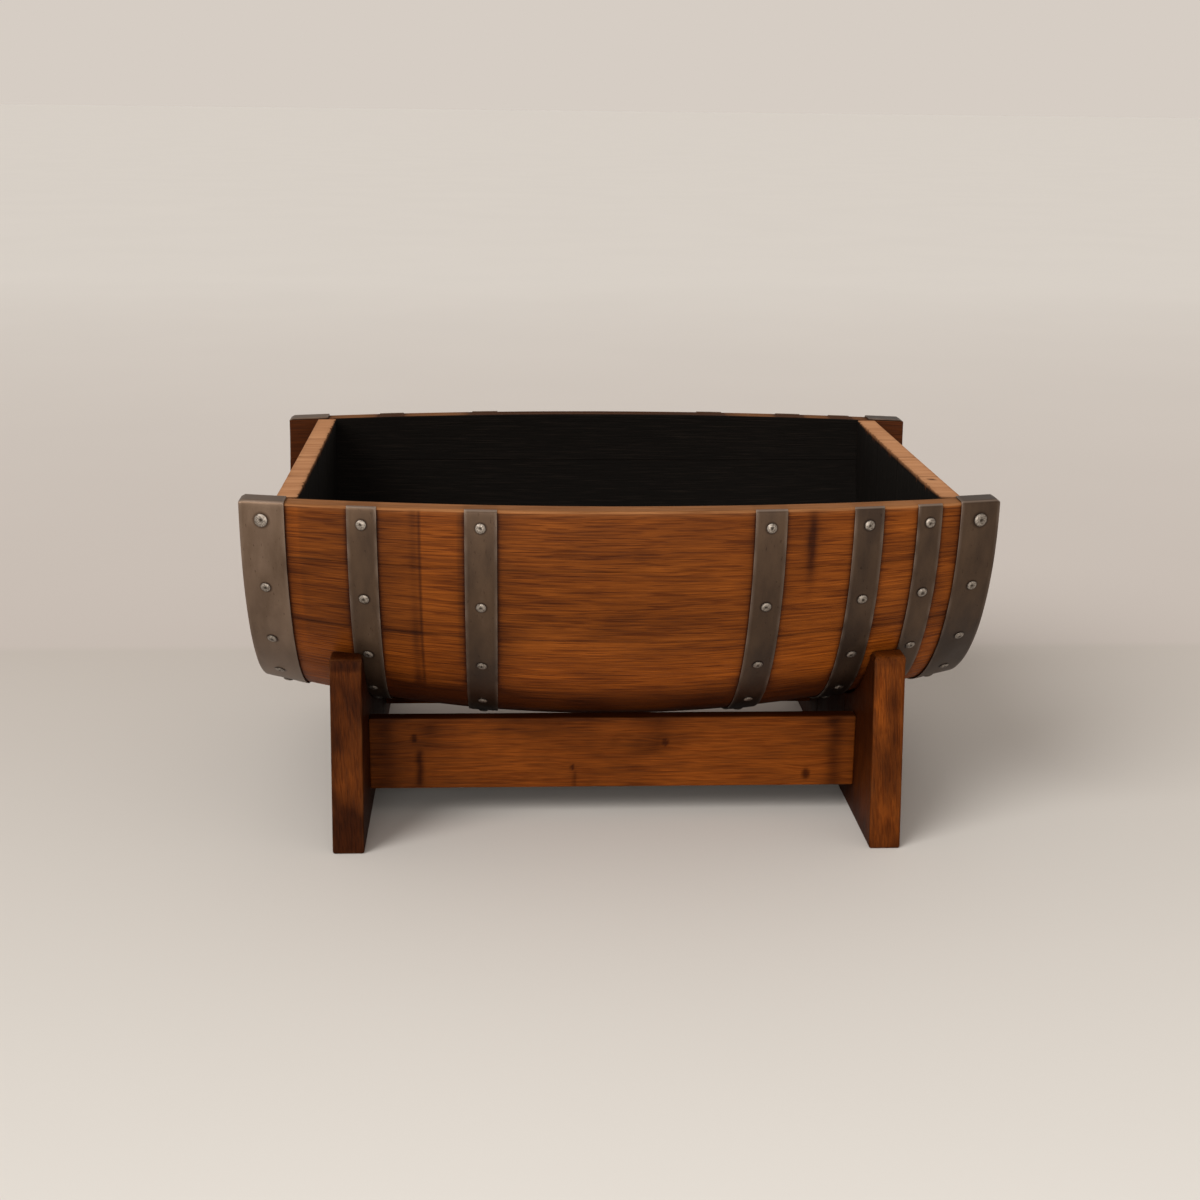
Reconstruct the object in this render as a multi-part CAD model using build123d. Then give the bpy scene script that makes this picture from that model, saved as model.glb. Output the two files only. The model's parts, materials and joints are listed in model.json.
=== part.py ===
"""Half-barrel planter on a timber cradle.

A wine barrel is sawn in half along its length and laid, open side up, in two saddle-cut
end frames that two long rails hold together.  The half barrel is a tub of staves, two
boarded heads in a croze groove, and steel hoops nailed to every stave.

Millimetres.  X runs along the barrel, -Y is the front, +Z is up.  The origin is on the
floor, under the middle of the barrel.
"""
from build123d import *
import math
import os

os.makedirs("parts", exist_ok=True)

# ---- barrel ---------------------------------------------------------------------------
BARREL_LENGTH = 950.0
END_RADIUS = 302.0          # outside of the staves at the barrel's ends
BULGE = 60.0                # how much fatter the barrel is at its middle
STAVE_THICKNESS = 32.0
STAVE_COUNT = 11            # staves left in the half, front rim to back rim
STAVE_ANGLE = 17.2          # degrees taken by each whole stave; the two at the rims share the rest

# ---- heads ----------------------------------------------------------------------------
HEAD_THICKNESS = 27.0
HEAD_INSET = 43.0           # from the stave ends to the outer face of a head
HEAD_JOINTS = (-150.0, -18.0, 115.0)   # where the upright head boards meet, along Y
CROZE_DEPTH = 6.0
TONGUE_THICKNESS = 10.0
HEAD_CLEARANCE = 0.3
HEAD_DOWEL_RADIUS = 5.0
HEAD_DOWEL_LENGTH = 44.0
HEAD_DOWEL_DROPS = (60.0, 150.0)       # below the rim

# ---- hoops and their nails --------------------------------------------------------------
HOOP_THICKNESS = 2.5
HOOP_GAP = 0.2              # between a hoop and the staves under it
# name: (which end it is measured from, distance of its outer edge from there, width)
HOOPS = {
    "left_chime_hoop": (-1, 0.0, 57.0),
    "left_quarter_hoop": (-1, 134.0, 37.0),
    "left_bilge_hoop": (-1, 278.0, 40.0),
    "right_bilge_hoop": (1, 276.0, 40.0),
    "right_quarter_hoop": (1, 153.0, 38.0),
    "right_collar_hoop": (1, 77.0, 32.0),
    "right_chime_hoop": (1, 0.0, 52.0),
}
CHIME_HOOPS = ("left_chime_hoop", "right_chime_hoop")
NAIL_HEAD_RADIUS = 6.5
RIM_NAIL_HEAD_RADIUS = 8.5  # the first and last nail of a chime hoop
NAIL_HEAD_RIM = 0.8
NAIL_DOME = 2.2
NAIL_SHANK_RADIUS = 2.0
NAIL_DEPTH = 16.0           # how far a nail reaches into its stave
NAIL_SEAT = 0.15            # under the flat of the head, on the curved hoop
NAIL_CLEARANCE = 0.08
RIM_NAIL_DROP = 22.0        # from the rim down to the first nail, along the surface

# ---- cradle ---------------------------------------------------------------------------
FRAME_INNER_SPAN = 660.5    # between the two end frames
FRAME_THICKNESS = 41.0
FRAME_TOP_DROP = 209.0      # the horns end this far below the barrel's rim
HORN_LAND = 22.0            # flat left on top of each horn, beside the saddle
FOOT_SPREAD = 30.0          # the foot stands out past the horn by this much, each side
MIDDLE_BOARD_WIDTH = 210.0
FRAME_EDGE_RADIUS = 4.0
HORN_CORNER_RADIUS = 9.0
SADDLE_CLEARANCE = 0.3
NAIL_RELIEF = 0.5           # air round nail heads where a saddle passes over them
FRAME_DOWEL_RADIUS = 6.0
FRAME_DOWEL_LENGTH = 60.0
FRAME_DOWEL_HEIGHTS = (40.0, 100.0)
DOWEL_CLEARANCE = 0.1

RAIL_HEIGHT = 100.0
RAIL_THICKNESS = 23.0
RAIL_UNDERSIDE = 41.0
RAIL_INNER_Y = 166.5        # from the centre plane to the inner face of a rail
RAIL_EDGE_RADIUS = 2.0
TUB_OVER_RAIL = 2.6         # air between the barrel's belly and the rails

SCREW_RADIUS = 3.0
SCREW_HEAD_RADIUS = 6.5
SCREW_HEAD_HEIGHT = 4.0
SCREW_LENGTH = 100.0
SCREW_CLEARANCE = 0.15
SCREW_EDGE_DISTANCE = 25.0  # from a rail's top and bottom edge to its screws

# ---- worked out from the sizes above -----------------------------------------------------
HALF_LENGTH = BARREL_LENGTH / 2
BILGE_RADIUS = END_RADIUS + BULGE
ARC_RADIUS = (HALF_LENGTH**2 + BULGE**2) / (2 * BULGE)
ARC_CENTRE = BILGE_RADIUS - ARC_RADIUS
RAIL_TOP = RAIL_UNDERSIDE + RAIL_HEIGHT
RIM_HEIGHT = RAIL_TOP + TUB_OVER_RAIL + math.sqrt(BILGE_RADIUS**2 - RAIL_INNER_Y**2)
HOOP_OUTSIDE = HOOP_GAP + HOOP_THICKNESS
HEAD_OUTER_X = HALF_LENGTH - HEAD_INSET
HEAD_INNER_X = HEAD_OUTER_X - HEAD_THICKNESS
FRAME_INNER_X = FRAME_INNER_SPAN / 2
FRAME_OUTER_X = FRAME_INNER_X + FRAME_THICKNESS
FRAME_TOP = RIM_HEIGHT - FRAME_TOP_DROP
REACH = 2 * (BILGE_RADIUS + RIM_HEIGHT)   # larger than anything, for cutting boxes

AXIS = Axis((0, 0, RIM_HEIGHT), (1, 0, 0))


def barrel_radius(x, offset=0.0):
    """Radius of the barrel's arc at x, moved outward by offset."""
    return ARC_CENTRE + math.sqrt((ARC_RADIUS + offset) ** 2 - x**2)


def profile(x0, x1, outer, inner=None):
    """Flat section of the barrel wall from x0 to x1, between two offsets of its arc.

    The section stands in the plane of the front rim; without an inner offset it reaches
    the barrel's axis.
    """
    def at(x, radius):
        return Vector(x, -radius, RIM_HEIGHT)

    mid = (x0 + x1) / 2
    a = at(x0, barrel_radius(x0, outer))
    b = at(mid, barrel_radius(mid, outer))
    c = at(x1, barrel_radius(x1, outer))
    edges = [Edge.make_three_point_arc(a, b, c)]
    if inner is None:
        d = at(x1, 0)
        e = at(x0, 0)
        edges.append(Edge.make_line(d, e))
    else:
        d = at(x1, barrel_radius(x1, inner))
        e = at(x0, barrel_radius(x0, inner))
        edges.append(Edge.make_three_point_arc(d, at(mid, barrel_radius(mid, inner)), e))
    edges.append(Edge.make_line(c, d))
    edges.append(Edge.make_line(e, a))
    return Face(Wire(edges))


def swept(face, start, end):
    """Turns a wall section about the barrel's axis, from start to end degrees below the front rim."""
    turned = face.rotate(AXIS, start)
    return Solid.revolve(turned, end - start, AXIS)


def slab(x0, x1, y0, y1, z0, z1):
    """Box between two corners."""
    centre = ((x0 + x1) / 2, (y0 + y1) / 2, (z0 + z1) / 2)
    return Pos(*centre) * Box(x1 - x0, y1 - y0, z1 - z0)


def rod(start, direction, radius, length):
    """Cylinder from a point along a direction."""
    plane = Plane(origin=start, z_dir=direction)
    return plane * Pos(0, 0, length / 2) * Cylinder(radius, length)


def save(name, shape):
    """Writes one node."""
    export_step(shape, os.path.join("parts", name + ".step"))


def save_group(name, solids):
    """Writes one node that holds several separate solids."""
    save(name, Compound(children=list(solids)))


# ---- layout -----------------------------------------------------------------------------
def stave_edges():
    """Angles below the front rim at which one stave ends and the next begins."""
    whole = STAVE_COUNT - 2
    first = (180 - whole * STAVE_ANGLE) / 2
    return [0.0] + [first + i * STAVE_ANGLE for i in range(whole + 1)] + [180.0]


def hoop_span(name):
    """Lower and upper x of a hoop."""
    side, inset, width = HOOPS[name]
    outer = side * (HALF_LENGTH - inset)
    return tuple(sorted((outer, outer - side * width)))


def nail_angles(x):
    """One angle for each stave: near the rim on the two cut staves, central on the others."""
    edges = stave_edges()
    rim = math.degrees(RIM_NAIL_DROP / barrel_radius(x))
    middle = [(a + b) / 2 for a, b in zip(edges[1:-2], edges[2:-1])]
    return [rim] + middle + [180 - rim]


def nail_axis(x, angle):
    """Point on the barrel's surface at x and angle, and the surface's outward direction."""
    radial = Vector(0, -math.cos(math.radians(angle)), -math.sin(math.radians(angle)))
    tilt = math.asin(x / ARC_RADIUS)
    outward = Vector(math.sin(tilt), 0, 0) + radial * math.cos(tilt)
    point = Vector(x, 0, RIM_HEIGHT) + radial * barrel_radius(x)
    return point, outward


def nail(point, outward, head_radius):
    """Domed nail: shank through the hoop into the stave, head on the hoop."""
    seat = HOOP_OUTSIDE + NAIL_SEAT
    shank = rod(point - outward * NAIL_DEPTH, outward, NAIL_SHANK_RADIUS, NAIL_DEPTH + seat + NAIL_HEAD_RIM)
    rim = rod(point + outward * seat, outward, head_radius, NAIL_HEAD_RIM)
    ball = (head_radius**2 + NAIL_DOME**2) / (2 * NAIL_DOME)
    plane = Plane(origin=point + outward * (seat + NAIL_HEAD_RIM), z_dir=outward)
    cap = Pos(0, 0, NAIL_DOME - ball) * Sphere(ball)
    dome = plane * (cap & slab(-ball, ball, -ball, ball, 0, ball))
    return (shank + rim + dome).solid()


# ---- hoops --------------------------------------------------------------------------------
def make_hoop(name):
    """One hoop, with tabs over the rim on the chime hoops, and its nails."""
    x0, x1 = hoop_span(name)
    strip = profile(x0, x1, HOOP_OUTSIDE, HOOP_GAP)
    hoop = swept(strip, 0, 180)
    if name in CHIME_HOOPS:
        tab = swept(profile(x0, x1, HOOP_OUTSIDE, -STAVE_THICKNESS), -90, 270)
        top = slab(x0, x1, -REACH, REACH, RIM_HEIGHT + HOOP_GAP, RIM_HEIGHT + HOOP_OUTSIDE)
        bend = swept(strip, -90, 270)
        rise = slab(x0, x1, -REACH, REACH, RIM_HEIGHT, RIM_HEIGHT + HOOP_OUTSIDE)
        hoop = hoop + (tab & top) + (bend & rise)
    x = (x0 + x1) / 2
    angles = nail_angles(x)
    nails = []
    for i, angle in enumerate(angles):
        at_rim = i in (0, len(angles) - 1)
        large = at_rim and name in CHIME_HOOPS
        point, outward = nail_axis(x, angle)
        nails.append(nail(point, outward, RIM_NAIL_HEAD_RADIUS if large else NAIL_HEAD_RADIUS))
        hole = rod(point, outward, NAIL_SHANK_RADIUS + NAIL_CLEARANCE, 2 * HOOP_OUTSIDE)
        hoop = hoop - hole
    save(name, hoop.solid())
    save_group(name + "_nails", nails)


# ---- staves -------------------------------------------------------------------------------
def croze(side):
    """Ring cut into the staves for a head's tongue."""
    middle = side * (HEAD_OUTER_X + HEAD_INNER_X) / 2
    half = TONGUE_THICKNESS / 2 + HEAD_CLEARANCE
    floor_of_groove = -STAVE_THICKNESS + CROZE_DEPTH
    return swept(profile(middle - half, middle + half, floor_of_groove), 0, 180)


def make_stave(index, start, end, grooves):
    """One stave with its part of both croze grooves and its nail holes."""
    wall = profile(-HALF_LENGTH, HALF_LENGTH, 0, -STAVE_THICKNESS)
    stave = swept(wall, start, end)
    for groove in grooves:
        stave = stave - groove
    for name in HOOPS:
        x = sum(hoop_span(name)) / 2
        point, outward = nail_axis(x, nail_angles(x)[index])
        depth = NAIL_DEPTH + NAIL_CLEARANCE
        hole = rod(point - outward * depth, outward, NAIL_SHANK_RADIUS + NAIL_CLEARANCE, 2 * depth)
        stave = stave - hole
    save("stave_%02d" % (index + 1), stave.solid())


# ---- heads --------------------------------------------------------------------------------
def make_head(name, side):
    """One head of upright boards with a tongue all round, and the dowels between the boards."""
    faces = sorted((side * HEAD_OUTER_X, side * HEAD_INNER_X))
    middle = sum(faces) / 2
    inside = -STAVE_THICKNESS - HEAD_CLEARANCE
    tongue_half = TONGUE_THICKNESS / 2
    disc = swept(profile(*faces, inside), 0, 180)
    tongue = swept(profile(middle - tongue_half, middle + tongue_half, inside + CROZE_DEPTH), 0, 180)
    head = disc + tongue
    holes = []
    dowels = []
    for y in HEAD_JOINTS:
        for drop in HEAD_DOWEL_DROPS:
            start = Vector(middle, y - HEAD_DOWEL_LENGTH / 2, RIM_HEIGHT - drop)
            dowels.append(rod(start, (0, 1, 0), HEAD_DOWEL_RADIUS, HEAD_DOWEL_LENGTH).solid())
            room = start - Vector(0, DOWEL_CLEARANCE, 0)
            length = HEAD_DOWEL_LENGTH + 2 * DOWEL_CLEARANCE
            holes.append(rod(room, (0, 1, 0), HEAD_DOWEL_RADIUS + DOWEL_CLEARANCE, length))
    for hole in holes:
        head = head - hole
    edges = [-REACH, *HEAD_JOINTS, REACH]
    for i, (y0, y1) in enumerate(zip(edges[:-1], edges[1:])):
        board = head & slab(-REACH, REACH, y0, y1, 0, REACH)
        save("%s_head_board_%d" % (name, i + 1), board.solid())
    save_group(name + "_head_dowels", dowels)


# ---- cradle -------------------------------------------------------------------------------
def frame_blank(side):
    """End frame before its saddle is cut: a trapezium with rounded horns and eased edges."""
    saddle_radius = barrel_radius(FRAME_INNER_X, HOOP_OUTSIDE + SADDLE_CLEARANCE)
    shoulder = math.sqrt(saddle_radius**2 - FRAME_TOP_DROP**2) + HORN_LAND
    foot = shoulder + FOOT_SPREAD
    outline = Polyline((-foot, 0), (foot, 0), (shoulder, FRAME_TOP), (-shoulder, FRAME_TOP), close=True)
    face = make_face(outline)
    horns = face.vertices().sort_by(Axis.Y)[-2:]
    face = fillet(horns, HORN_CORNER_RADIUS)
    x = FRAME_INNER_X if side > 0 else -FRAME_OUTER_X
    blank = extrude(Plane.YZ.offset(x) * face, FRAME_THICKNESS)
    sides = blank.faces().filter_by(Axis.X)
    eased = [e for f in sides for e in f.edges() if e.center().Z > 1]
    return fillet(eased, FRAME_EDGE_RADIUS)


def screw_places():
    """Y and Z of the screws that hold the rails, two in each rail end."""
    y = RAIL_INNER_Y + RAIL_THICKNESS / 2
    heights = (RAIL_UNDERSIDE + SCREW_EDGE_DISTANCE, RAIL_TOP - SCREW_EDGE_DISTANCE)
    return [(sign * y, z) for sign in (-1, 1) for z in heights]


def saddle_cutters(side):
    """The barrel's shape with clearance, and a groove for each row of nails that crosses the frame."""
    lying = HOOP_OUTSIDE + SADDLE_CLEARANCE
    cutters = [swept(profile(-HALF_LENGTH, HALF_LENGTH, lying), 0, 180)]
    nail_top = HOOP_OUTSIDE + NAIL_SEAT + NAIL_HEAD_RIM + NAIL_DOME + NAIL_RELIEF
    reach = NAIL_HEAD_RADIUS + NAIL_RELIEF
    for name in HOOPS:
        x = sum(hoop_span(name)) / 2
        if x * side > 0 and FRAME_INNER_X - reach < abs(x) < FRAME_OUTER_X + reach:
            cutters.append(swept(profile(x - reach, x + reach, nail_top), 0, 180))
    return cutters


def make_frame(name, side):
    """One end frame: three upright boards, the dowels between them and the rail screws."""
    blank = frame_blank(side)
    for cutter in saddle_cutters(side):
        blank = blank - cutter
    middle = side * (FRAME_INNER_X + FRAME_OUTER_X) / 2
    joints = (-MIDDLE_BOARD_WIDTH / 2, MIDDLE_BOARD_WIDTH / 2)
    dowels = []
    for y in joints:
        for z in FRAME_DOWEL_HEIGHTS:
            start = Vector(middle, y - FRAME_DOWEL_LENGTH / 2, z)
            dowels.append(rod(start, (0, 1, 0), FRAME_DOWEL_RADIUS, FRAME_DOWEL_LENGTH).solid())
            room = start - Vector(0, DOWEL_CLEARANCE, 0)
            length = FRAME_DOWEL_LENGTH + 2 * DOWEL_CLEARANCE
            blank = blank - rod(room, (0, 1, 0), FRAME_DOWEL_RADIUS + DOWEL_CLEARANCE, length)
    screws = []
    inward = Vector(-side, 0, 0)
    for y, z in screw_places():
        mouth = Vector(side * FRAME_OUTER_X, y, z)
        shank = rod(mouth, inward, SCREW_RADIUS, SCREW_LENGTH)
        head = rod(mouth - inward * SCREW_HEAD_HEIGHT, inward, SCREW_HEAD_RADIUS, SCREW_HEAD_HEIGHT)
        screws.append((shank + head).solid())
        blank = blank - rod(mouth, inward, SCREW_RADIUS + SCREW_CLEARANCE, FRAME_THICKNESS)
    cuts = (-REACH, *joints, REACH)
    for part, y0, y1 in zip(("front", "middle", "back"), cuts[:-1], cuts[1:]):
        board = blank & slab(-REACH, REACH, y0, y1, -1, REACH)
        save("%s_frame_%s_board" % (name, part), board.solid())
    save_group(name + "_frame_dowels", dowels)
    save_group(name + "_rail_screws", screws)


def make_rail(name, sign):
    """One long rail between the end frames, with pilot holes for its four screws."""
    ys = sorted((sign * RAIL_INNER_Y, sign * (RAIL_INNER_Y + RAIL_THICKNESS)))
    rail = slab(-FRAME_INNER_X, FRAME_INNER_X, *ys, RAIL_UNDERSIDE, RAIL_TOP)
    rail = fillet(rail.edges().filter_by(Axis.X), RAIL_EDGE_RADIUS)
    pilot = SCREW_LENGTH + SCREW_CLEARANCE
    for side in (-1, 1):
        inward = Vector(-side, 0, 0)
        for y, z in screw_places():
            if y * sign > 0:
                mouth = Vector(side * FRAME_OUTER_X, y, z)
                rail = rail - rod(mouth, inward, SCREW_RADIUS + SCREW_CLEARANCE, pilot)
    save(name, rail.solid())


def main():
    """Makes every node."""
    grooves = [croze(-1), croze(1)]
    edges = stave_edges()
    for index, (start, end) in enumerate(zip(edges[:-1], edges[1:])):
        make_stave(index, start, end, grooves)
    for name in HOOPS:
        make_hoop(name)
    for name, side in (("left", -1), ("right", 1)):
        make_head(name, side)
        make_frame(name, side)
    for name, sign in (("front_rail", -1), ("back_rail", 1)):
        make_rail(name, sign)


main()
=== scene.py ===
"""Half-barrel planter in its timber cradle: the looks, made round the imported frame.

Everything is in metres, in the frame's own axes: X along the barrel, -Y the front, +Z up.
Places come from the frame's boxes; the few sizes that a box can't give are named below.
"""
import json
import logging
import math
from collections.abc import Callable
from dataclasses import dataclass
from enum import Enum

import bpy
import numpy as np
from mathutils import Matrix, Vector


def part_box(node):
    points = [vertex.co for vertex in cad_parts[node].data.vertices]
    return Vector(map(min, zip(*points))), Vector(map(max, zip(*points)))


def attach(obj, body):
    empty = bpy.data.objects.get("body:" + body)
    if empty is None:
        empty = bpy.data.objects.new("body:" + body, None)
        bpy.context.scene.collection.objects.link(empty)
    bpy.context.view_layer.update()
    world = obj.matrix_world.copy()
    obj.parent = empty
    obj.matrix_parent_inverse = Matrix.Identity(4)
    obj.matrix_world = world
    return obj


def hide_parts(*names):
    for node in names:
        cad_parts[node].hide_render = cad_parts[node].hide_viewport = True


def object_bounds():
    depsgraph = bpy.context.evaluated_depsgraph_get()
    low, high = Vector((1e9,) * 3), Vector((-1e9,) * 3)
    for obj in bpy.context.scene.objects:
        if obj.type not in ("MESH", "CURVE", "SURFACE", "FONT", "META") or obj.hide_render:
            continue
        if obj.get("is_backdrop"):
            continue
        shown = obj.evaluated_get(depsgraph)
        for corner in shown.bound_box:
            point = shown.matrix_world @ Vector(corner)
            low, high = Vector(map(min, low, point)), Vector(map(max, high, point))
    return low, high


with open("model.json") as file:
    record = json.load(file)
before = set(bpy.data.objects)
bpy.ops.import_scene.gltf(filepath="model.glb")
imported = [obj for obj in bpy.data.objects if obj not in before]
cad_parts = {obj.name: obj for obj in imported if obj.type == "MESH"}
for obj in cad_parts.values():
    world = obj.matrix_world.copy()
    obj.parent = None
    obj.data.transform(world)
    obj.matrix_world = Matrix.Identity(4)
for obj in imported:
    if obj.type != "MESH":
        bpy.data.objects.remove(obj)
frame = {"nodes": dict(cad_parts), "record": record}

log = logging.getLogger("half_barrel")

MM = 0.001
Fields = dict[str, np.ndarray]
# Rows of numbers; what each number is stands with the table.
Table = tuple[tuple[float, ...], ...]
# A small head's points, quads, and grime with painted shade.
Head = tuple[np.ndarray, np.ndarray, np.ndarray]


class Side(Enum):
    """The two ends of the barrel, as a sign along X."""

    LEFT = -1
    RIGHT = 1


class Body(Enum):
    """The frame's two moving bodies."""

    TUB = "tub"
    CRADLE = "cradle"


# ---------------------------------------------------------------------------------------
# Curves
# ---------------------------------------------------------------------------------------
def smooth(x: np.ndarray, low: float, high: float) -> np.ndarray:
    """Smooth step: 0 below low, 1 above high, 3u^2 - 2u^3 between."""
    u = np.clip((x - low) / (high - low), 0, 1)
    return u * u * (3 - 2 * u)


def fading(away: np.ndarray, reach: float) -> np.ndarray:
    """Exponential fade: 1 where away is 0, 1/e at the reach."""
    return np.exp(-away / reach)


def bell(x: np.ndarray, middle: float | np.ndarray, half: float) -> np.ndarray:
    """Bell curve: 1 at the middle, 1/e at half away from it: exp(-((x - middle) / half)^2)."""
    return np.exp(-np.square((x - middle) / half))


def waver(a: np.ndarray, b: np.ndarray, seed: int) -> np.ndarray:
    """Gentle wavering between -1 and 1: the mean of five sine waves over the plane (a, b).

    Args:
        a: first coordinate, in wavelengths.
        b: second coordinate, in wavelengths.
        seed: sets the waves' directions and phases.

    Returns:
        The value at each point.
    """
    waves = 5
    steepest = 1.6
    draw = np.random.default_rng(seed)
    total = np.zeros(np.broadcast(a, b).shape)
    for _ in range(waves):
        fa, fb = draw.uniform(-steepest, steepest, 2)
        total = total + np.sin(2 * np.pi * (a * fa + b * fb + draw.uniform()))
    return total / waves


def swell(a: np.ndarray, b: np.ndarray, seed: int) -> np.ndarray:
    """The waver's crests alone: its value where that is above 0, and 0 elsewhere."""
    return np.maximum(waver(a, b, seed), 0)


# ---------------------------------------------------------------------------------------
# Surfaces
# ---------------------------------------------------------------------------------------
def stations(length: float, radius: float, step: float) -> np.ndarray:
    """Places along one side of a block: close together in its eased corners, even between.

    In a corner the places are radius * (1 - tan a), for a from 45 degrees down to 0 in
    steps of 15, so that the rounded corner gets equal arcs.

    Args:
        length: the side's length.
        radius: the corners' radius.
        step: spacing between the corners.

    Returns:
        The places, rising from 0 to length.
    """
    turn = radius * (1 - np.tan(np.radians([45.0, 30.0, 15.0])))
    count = max(1, round((length - 2 * radius) / step))
    middle = np.linspace(radius, length - radius, count + 1)
    return np.concatenate([turn, middle, length - turn[::-1]])


def block_skin(s: np.ndarray, t: np.ndarray, w: np.ndarray) -> tuple[np.ndarray, np.ndarray]:
    """Closed skin of a block: every lattice point on its outside, joined in quads.

    Args:
        s: places along the block.
        t: places across it.
        w: places through it.

    Returns:
        The points, one row each, and the quads as rows of four point numbers.
    """
    lattice = np.stack(np.meshgrid(s, t, w, indexing="ij"), axis=-1)
    outside = np.ones(lattice.shape[:3], dtype=bool)
    outside[1:-1, 1:-1, 1:-1] = False
    number = np.full(outside.shape, -1, dtype=np.int64)
    number[outside] = np.arange(outside.sum())
    quads = []
    sheets = (
        (number[0], True), (number[-1], False),
        (number[:, 0], False), (number[:, -1], True),
        (number[:, :, 0], True), (number[:, :, -1], False),
    )
    for sheet, turned in sheets:
        corners = [sheet[:-1, :-1], sheet[1:, :-1], sheet[1:, 1:], sheet[:-1, 1:]]
        flat = np.stack(corners, axis=-1).reshape(-1, 4)
        quads.append(flat[:, ::-1] if turned else flat)
    return lattice[outside], np.concatenate(quads)


def eased(points: np.ndarray, size: np.ndarray, radius: float) -> np.ndarray:
    """Rounds every edge of a block: a point nearer than the radius to two faces moves onto
    the ball of that radius whose centre is the nearest point of the block's inner core.

    Args:
        points: points on the block's faces.
        size: the block's three sides.
        radius: the edges' radius.

    Returns:
        The points, moved.
    """
    core = np.clip(points, radius, size - radius)
    reach = points - core
    span = np.linalg.norm(reach, axis=1, keepdims=True)
    return np.where(span > 1e-9, core + reach / np.maximum(span, 1e-9) * radius, points)


def block(size: np.ndarray, corner: float, steps: tuple[float, float, float], ease: float,
          along: np.ndarray | None = None) -> tuple[np.ndarray, np.ndarray, np.ndarray]:
    """A block with eased edges, its corner at the origin.

    Args:
        size: its length, width and thickness.
        corner: radius in which the points stand close together.
        steps: spacing of the points elsewhere, along, across and through.
        ease: radius of its edges.
        along: the places along it, where they aren't even.

    Returns:
        The points, the quads, and each point's distance from the nearest edge, which is the
        middle one of its distances from the three pairs of faces.
    """
    places = [stations(side, corner, step) for side, step in zip(size, steps)]
    if along is not None:
        places[0] = along
    points, quads = block_skin(*places)
    edge = np.sort(np.minimum(points, size - points), axis=1)[:, 1]
    return eased(points, size, ease), quads, edge


def rounded_over(a: np.ndarray, b: np.ndarray, radius: float) -> tuple[np.ndarray, np.ndarray]:
    """Rounds one long edge, given each point's distance from the two faces that meet in it:
    points inside the corner square move onto the quarter circle of that radius.

    Args:
        a: distance from the first face.
        b: distance from the second face.
        radius: the edge's radius.

    Returns:
        The two distances, changed inside the corner square only.
    """
    da = np.maximum(radius - a, 0)
    db = np.maximum(radius - b, 0)
    inside = (a < radius) & (b < radius)
    span = np.maximum(np.hypot(da, db), 1e-9)
    return (np.where(inside, radius - da / span * radius, a),
            np.where(inside, radius - db / span * radius, b))


def turned_head(r: np.ndarray, up: np.ndarray, around: int) -> tuple[np.ndarray, ...]:
    """A profile turned round Z, its first and last rings closed with flat fans of quads.

    Args:
        r: the profile's distances from Z.
        up: its heights.
        around: points round each ring.

    Returns:
        Distance from Z, x, y and height as grids, profile by turn, and the quads.
    """
    turn = np.linspace(0, 2 * np.pi, around, endpoint=False)
    ring_r, ring_a = np.meshgrid(r, turn, indexing="ij")
    number = np.arange(ring_r.size).reshape(ring_r.shape)
    after = np.roll(number, -1, axis=1)
    quads = [np.stack([number[:-1], after[:-1], after[1:], number[1:]], axis=-1).reshape(-1, 4)]
    half = around // 2
    for ring, over in ((number[0], True), (number[-1], False)):
        back = ring[::-1]
        fan = np.stack([ring[:half - 1], ring[1:half], back[1:half], back[:half - 1]], axis=-1)
        quads.append(fan[:, ::-1] if over else fan)
    heights = np.repeat(up[:, None], around, axis=1)
    return ring_r, ring_r * np.cos(ring_a), ring_r * np.sin(ring_a), heights, np.concatenate(quads)


def gathered(heads: list[Head]) -> tuple[np.ndarray, np.ndarray, Fields]:
    """Puts several heads into one skin: points, quads and grime end to end.

    Args:
        heads: the heads.

    Returns:
        The points, the quads, renumbered, and the fields.
    """
    points, quads, grime = zip(*heads)
    starts = np.cumsum([0] + [len(p) for p in points[:-1]])
    return (np.concatenate(points), np.concatenate([q + start for q, start in zip(quads, starts)]),
            {"grime": np.concatenate(grime)})


def outward(points: np.ndarray, quads: np.ndarray) -> np.ndarray:
    """Turns a closed skin's quads round if its signed volume is negative.

    Args:
        points: its points.
        quads: its quads.

    Returns:
        The quads, facing outwards.
    """
    a, b, c, d = (points[quads[:, i]] for i in range(4))
    volume = np.sum(a * np.cross(b, c)) + np.sum(a * np.cross(c, d))
    return quads if volume > 0 else quads[:, ::-1]


def make_mesh(name: str, points: np.ndarray, quads: np.ndarray, fields: Fields) -> bpy.types.Object:
    """Puts a closed skin into a mesh object at the origin, with one attribute for each field.

    Args:
        name: the piece's name.
        points: its points.
        quads: its quads.
        fields: per-point values; a field with three columns becomes a vector attribute.

    Returns:
        The object, in the scene.
    """
    quads = outward(points, quads)
    mesh = bpy.data.meshes.new(name)
    mesh.vertices.add(len(points))
    mesh.vertices.foreach_set("co", points.astype(np.float32).ravel())
    mesh.loops.add(quads.size)
    mesh.loops.foreach_set("vertex_index", quads.astype(np.int32).ravel())
    mesh.polygons.add(len(quads))
    mesh.polygons.foreach_set("loop_start", np.arange(0, quads.size, 4, dtype=np.int32))
    mesh.update(calc_edges=True)
    mesh.shade_smooth()
    for key, values in fields.items():
        kind, entry = ("FLOAT_VECTOR", "vector") if values.ndim == 2 else ("FLOAT", "value")
        attribute = mesh.attributes.new(key, kind, "POINT")
        attribute.data.foreach_set(entry, values.astype(np.float32).ravel())
    made = bpy.data.objects.new(name, mesh)
    bpy.context.collection.objects.link(made)
    return made


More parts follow.
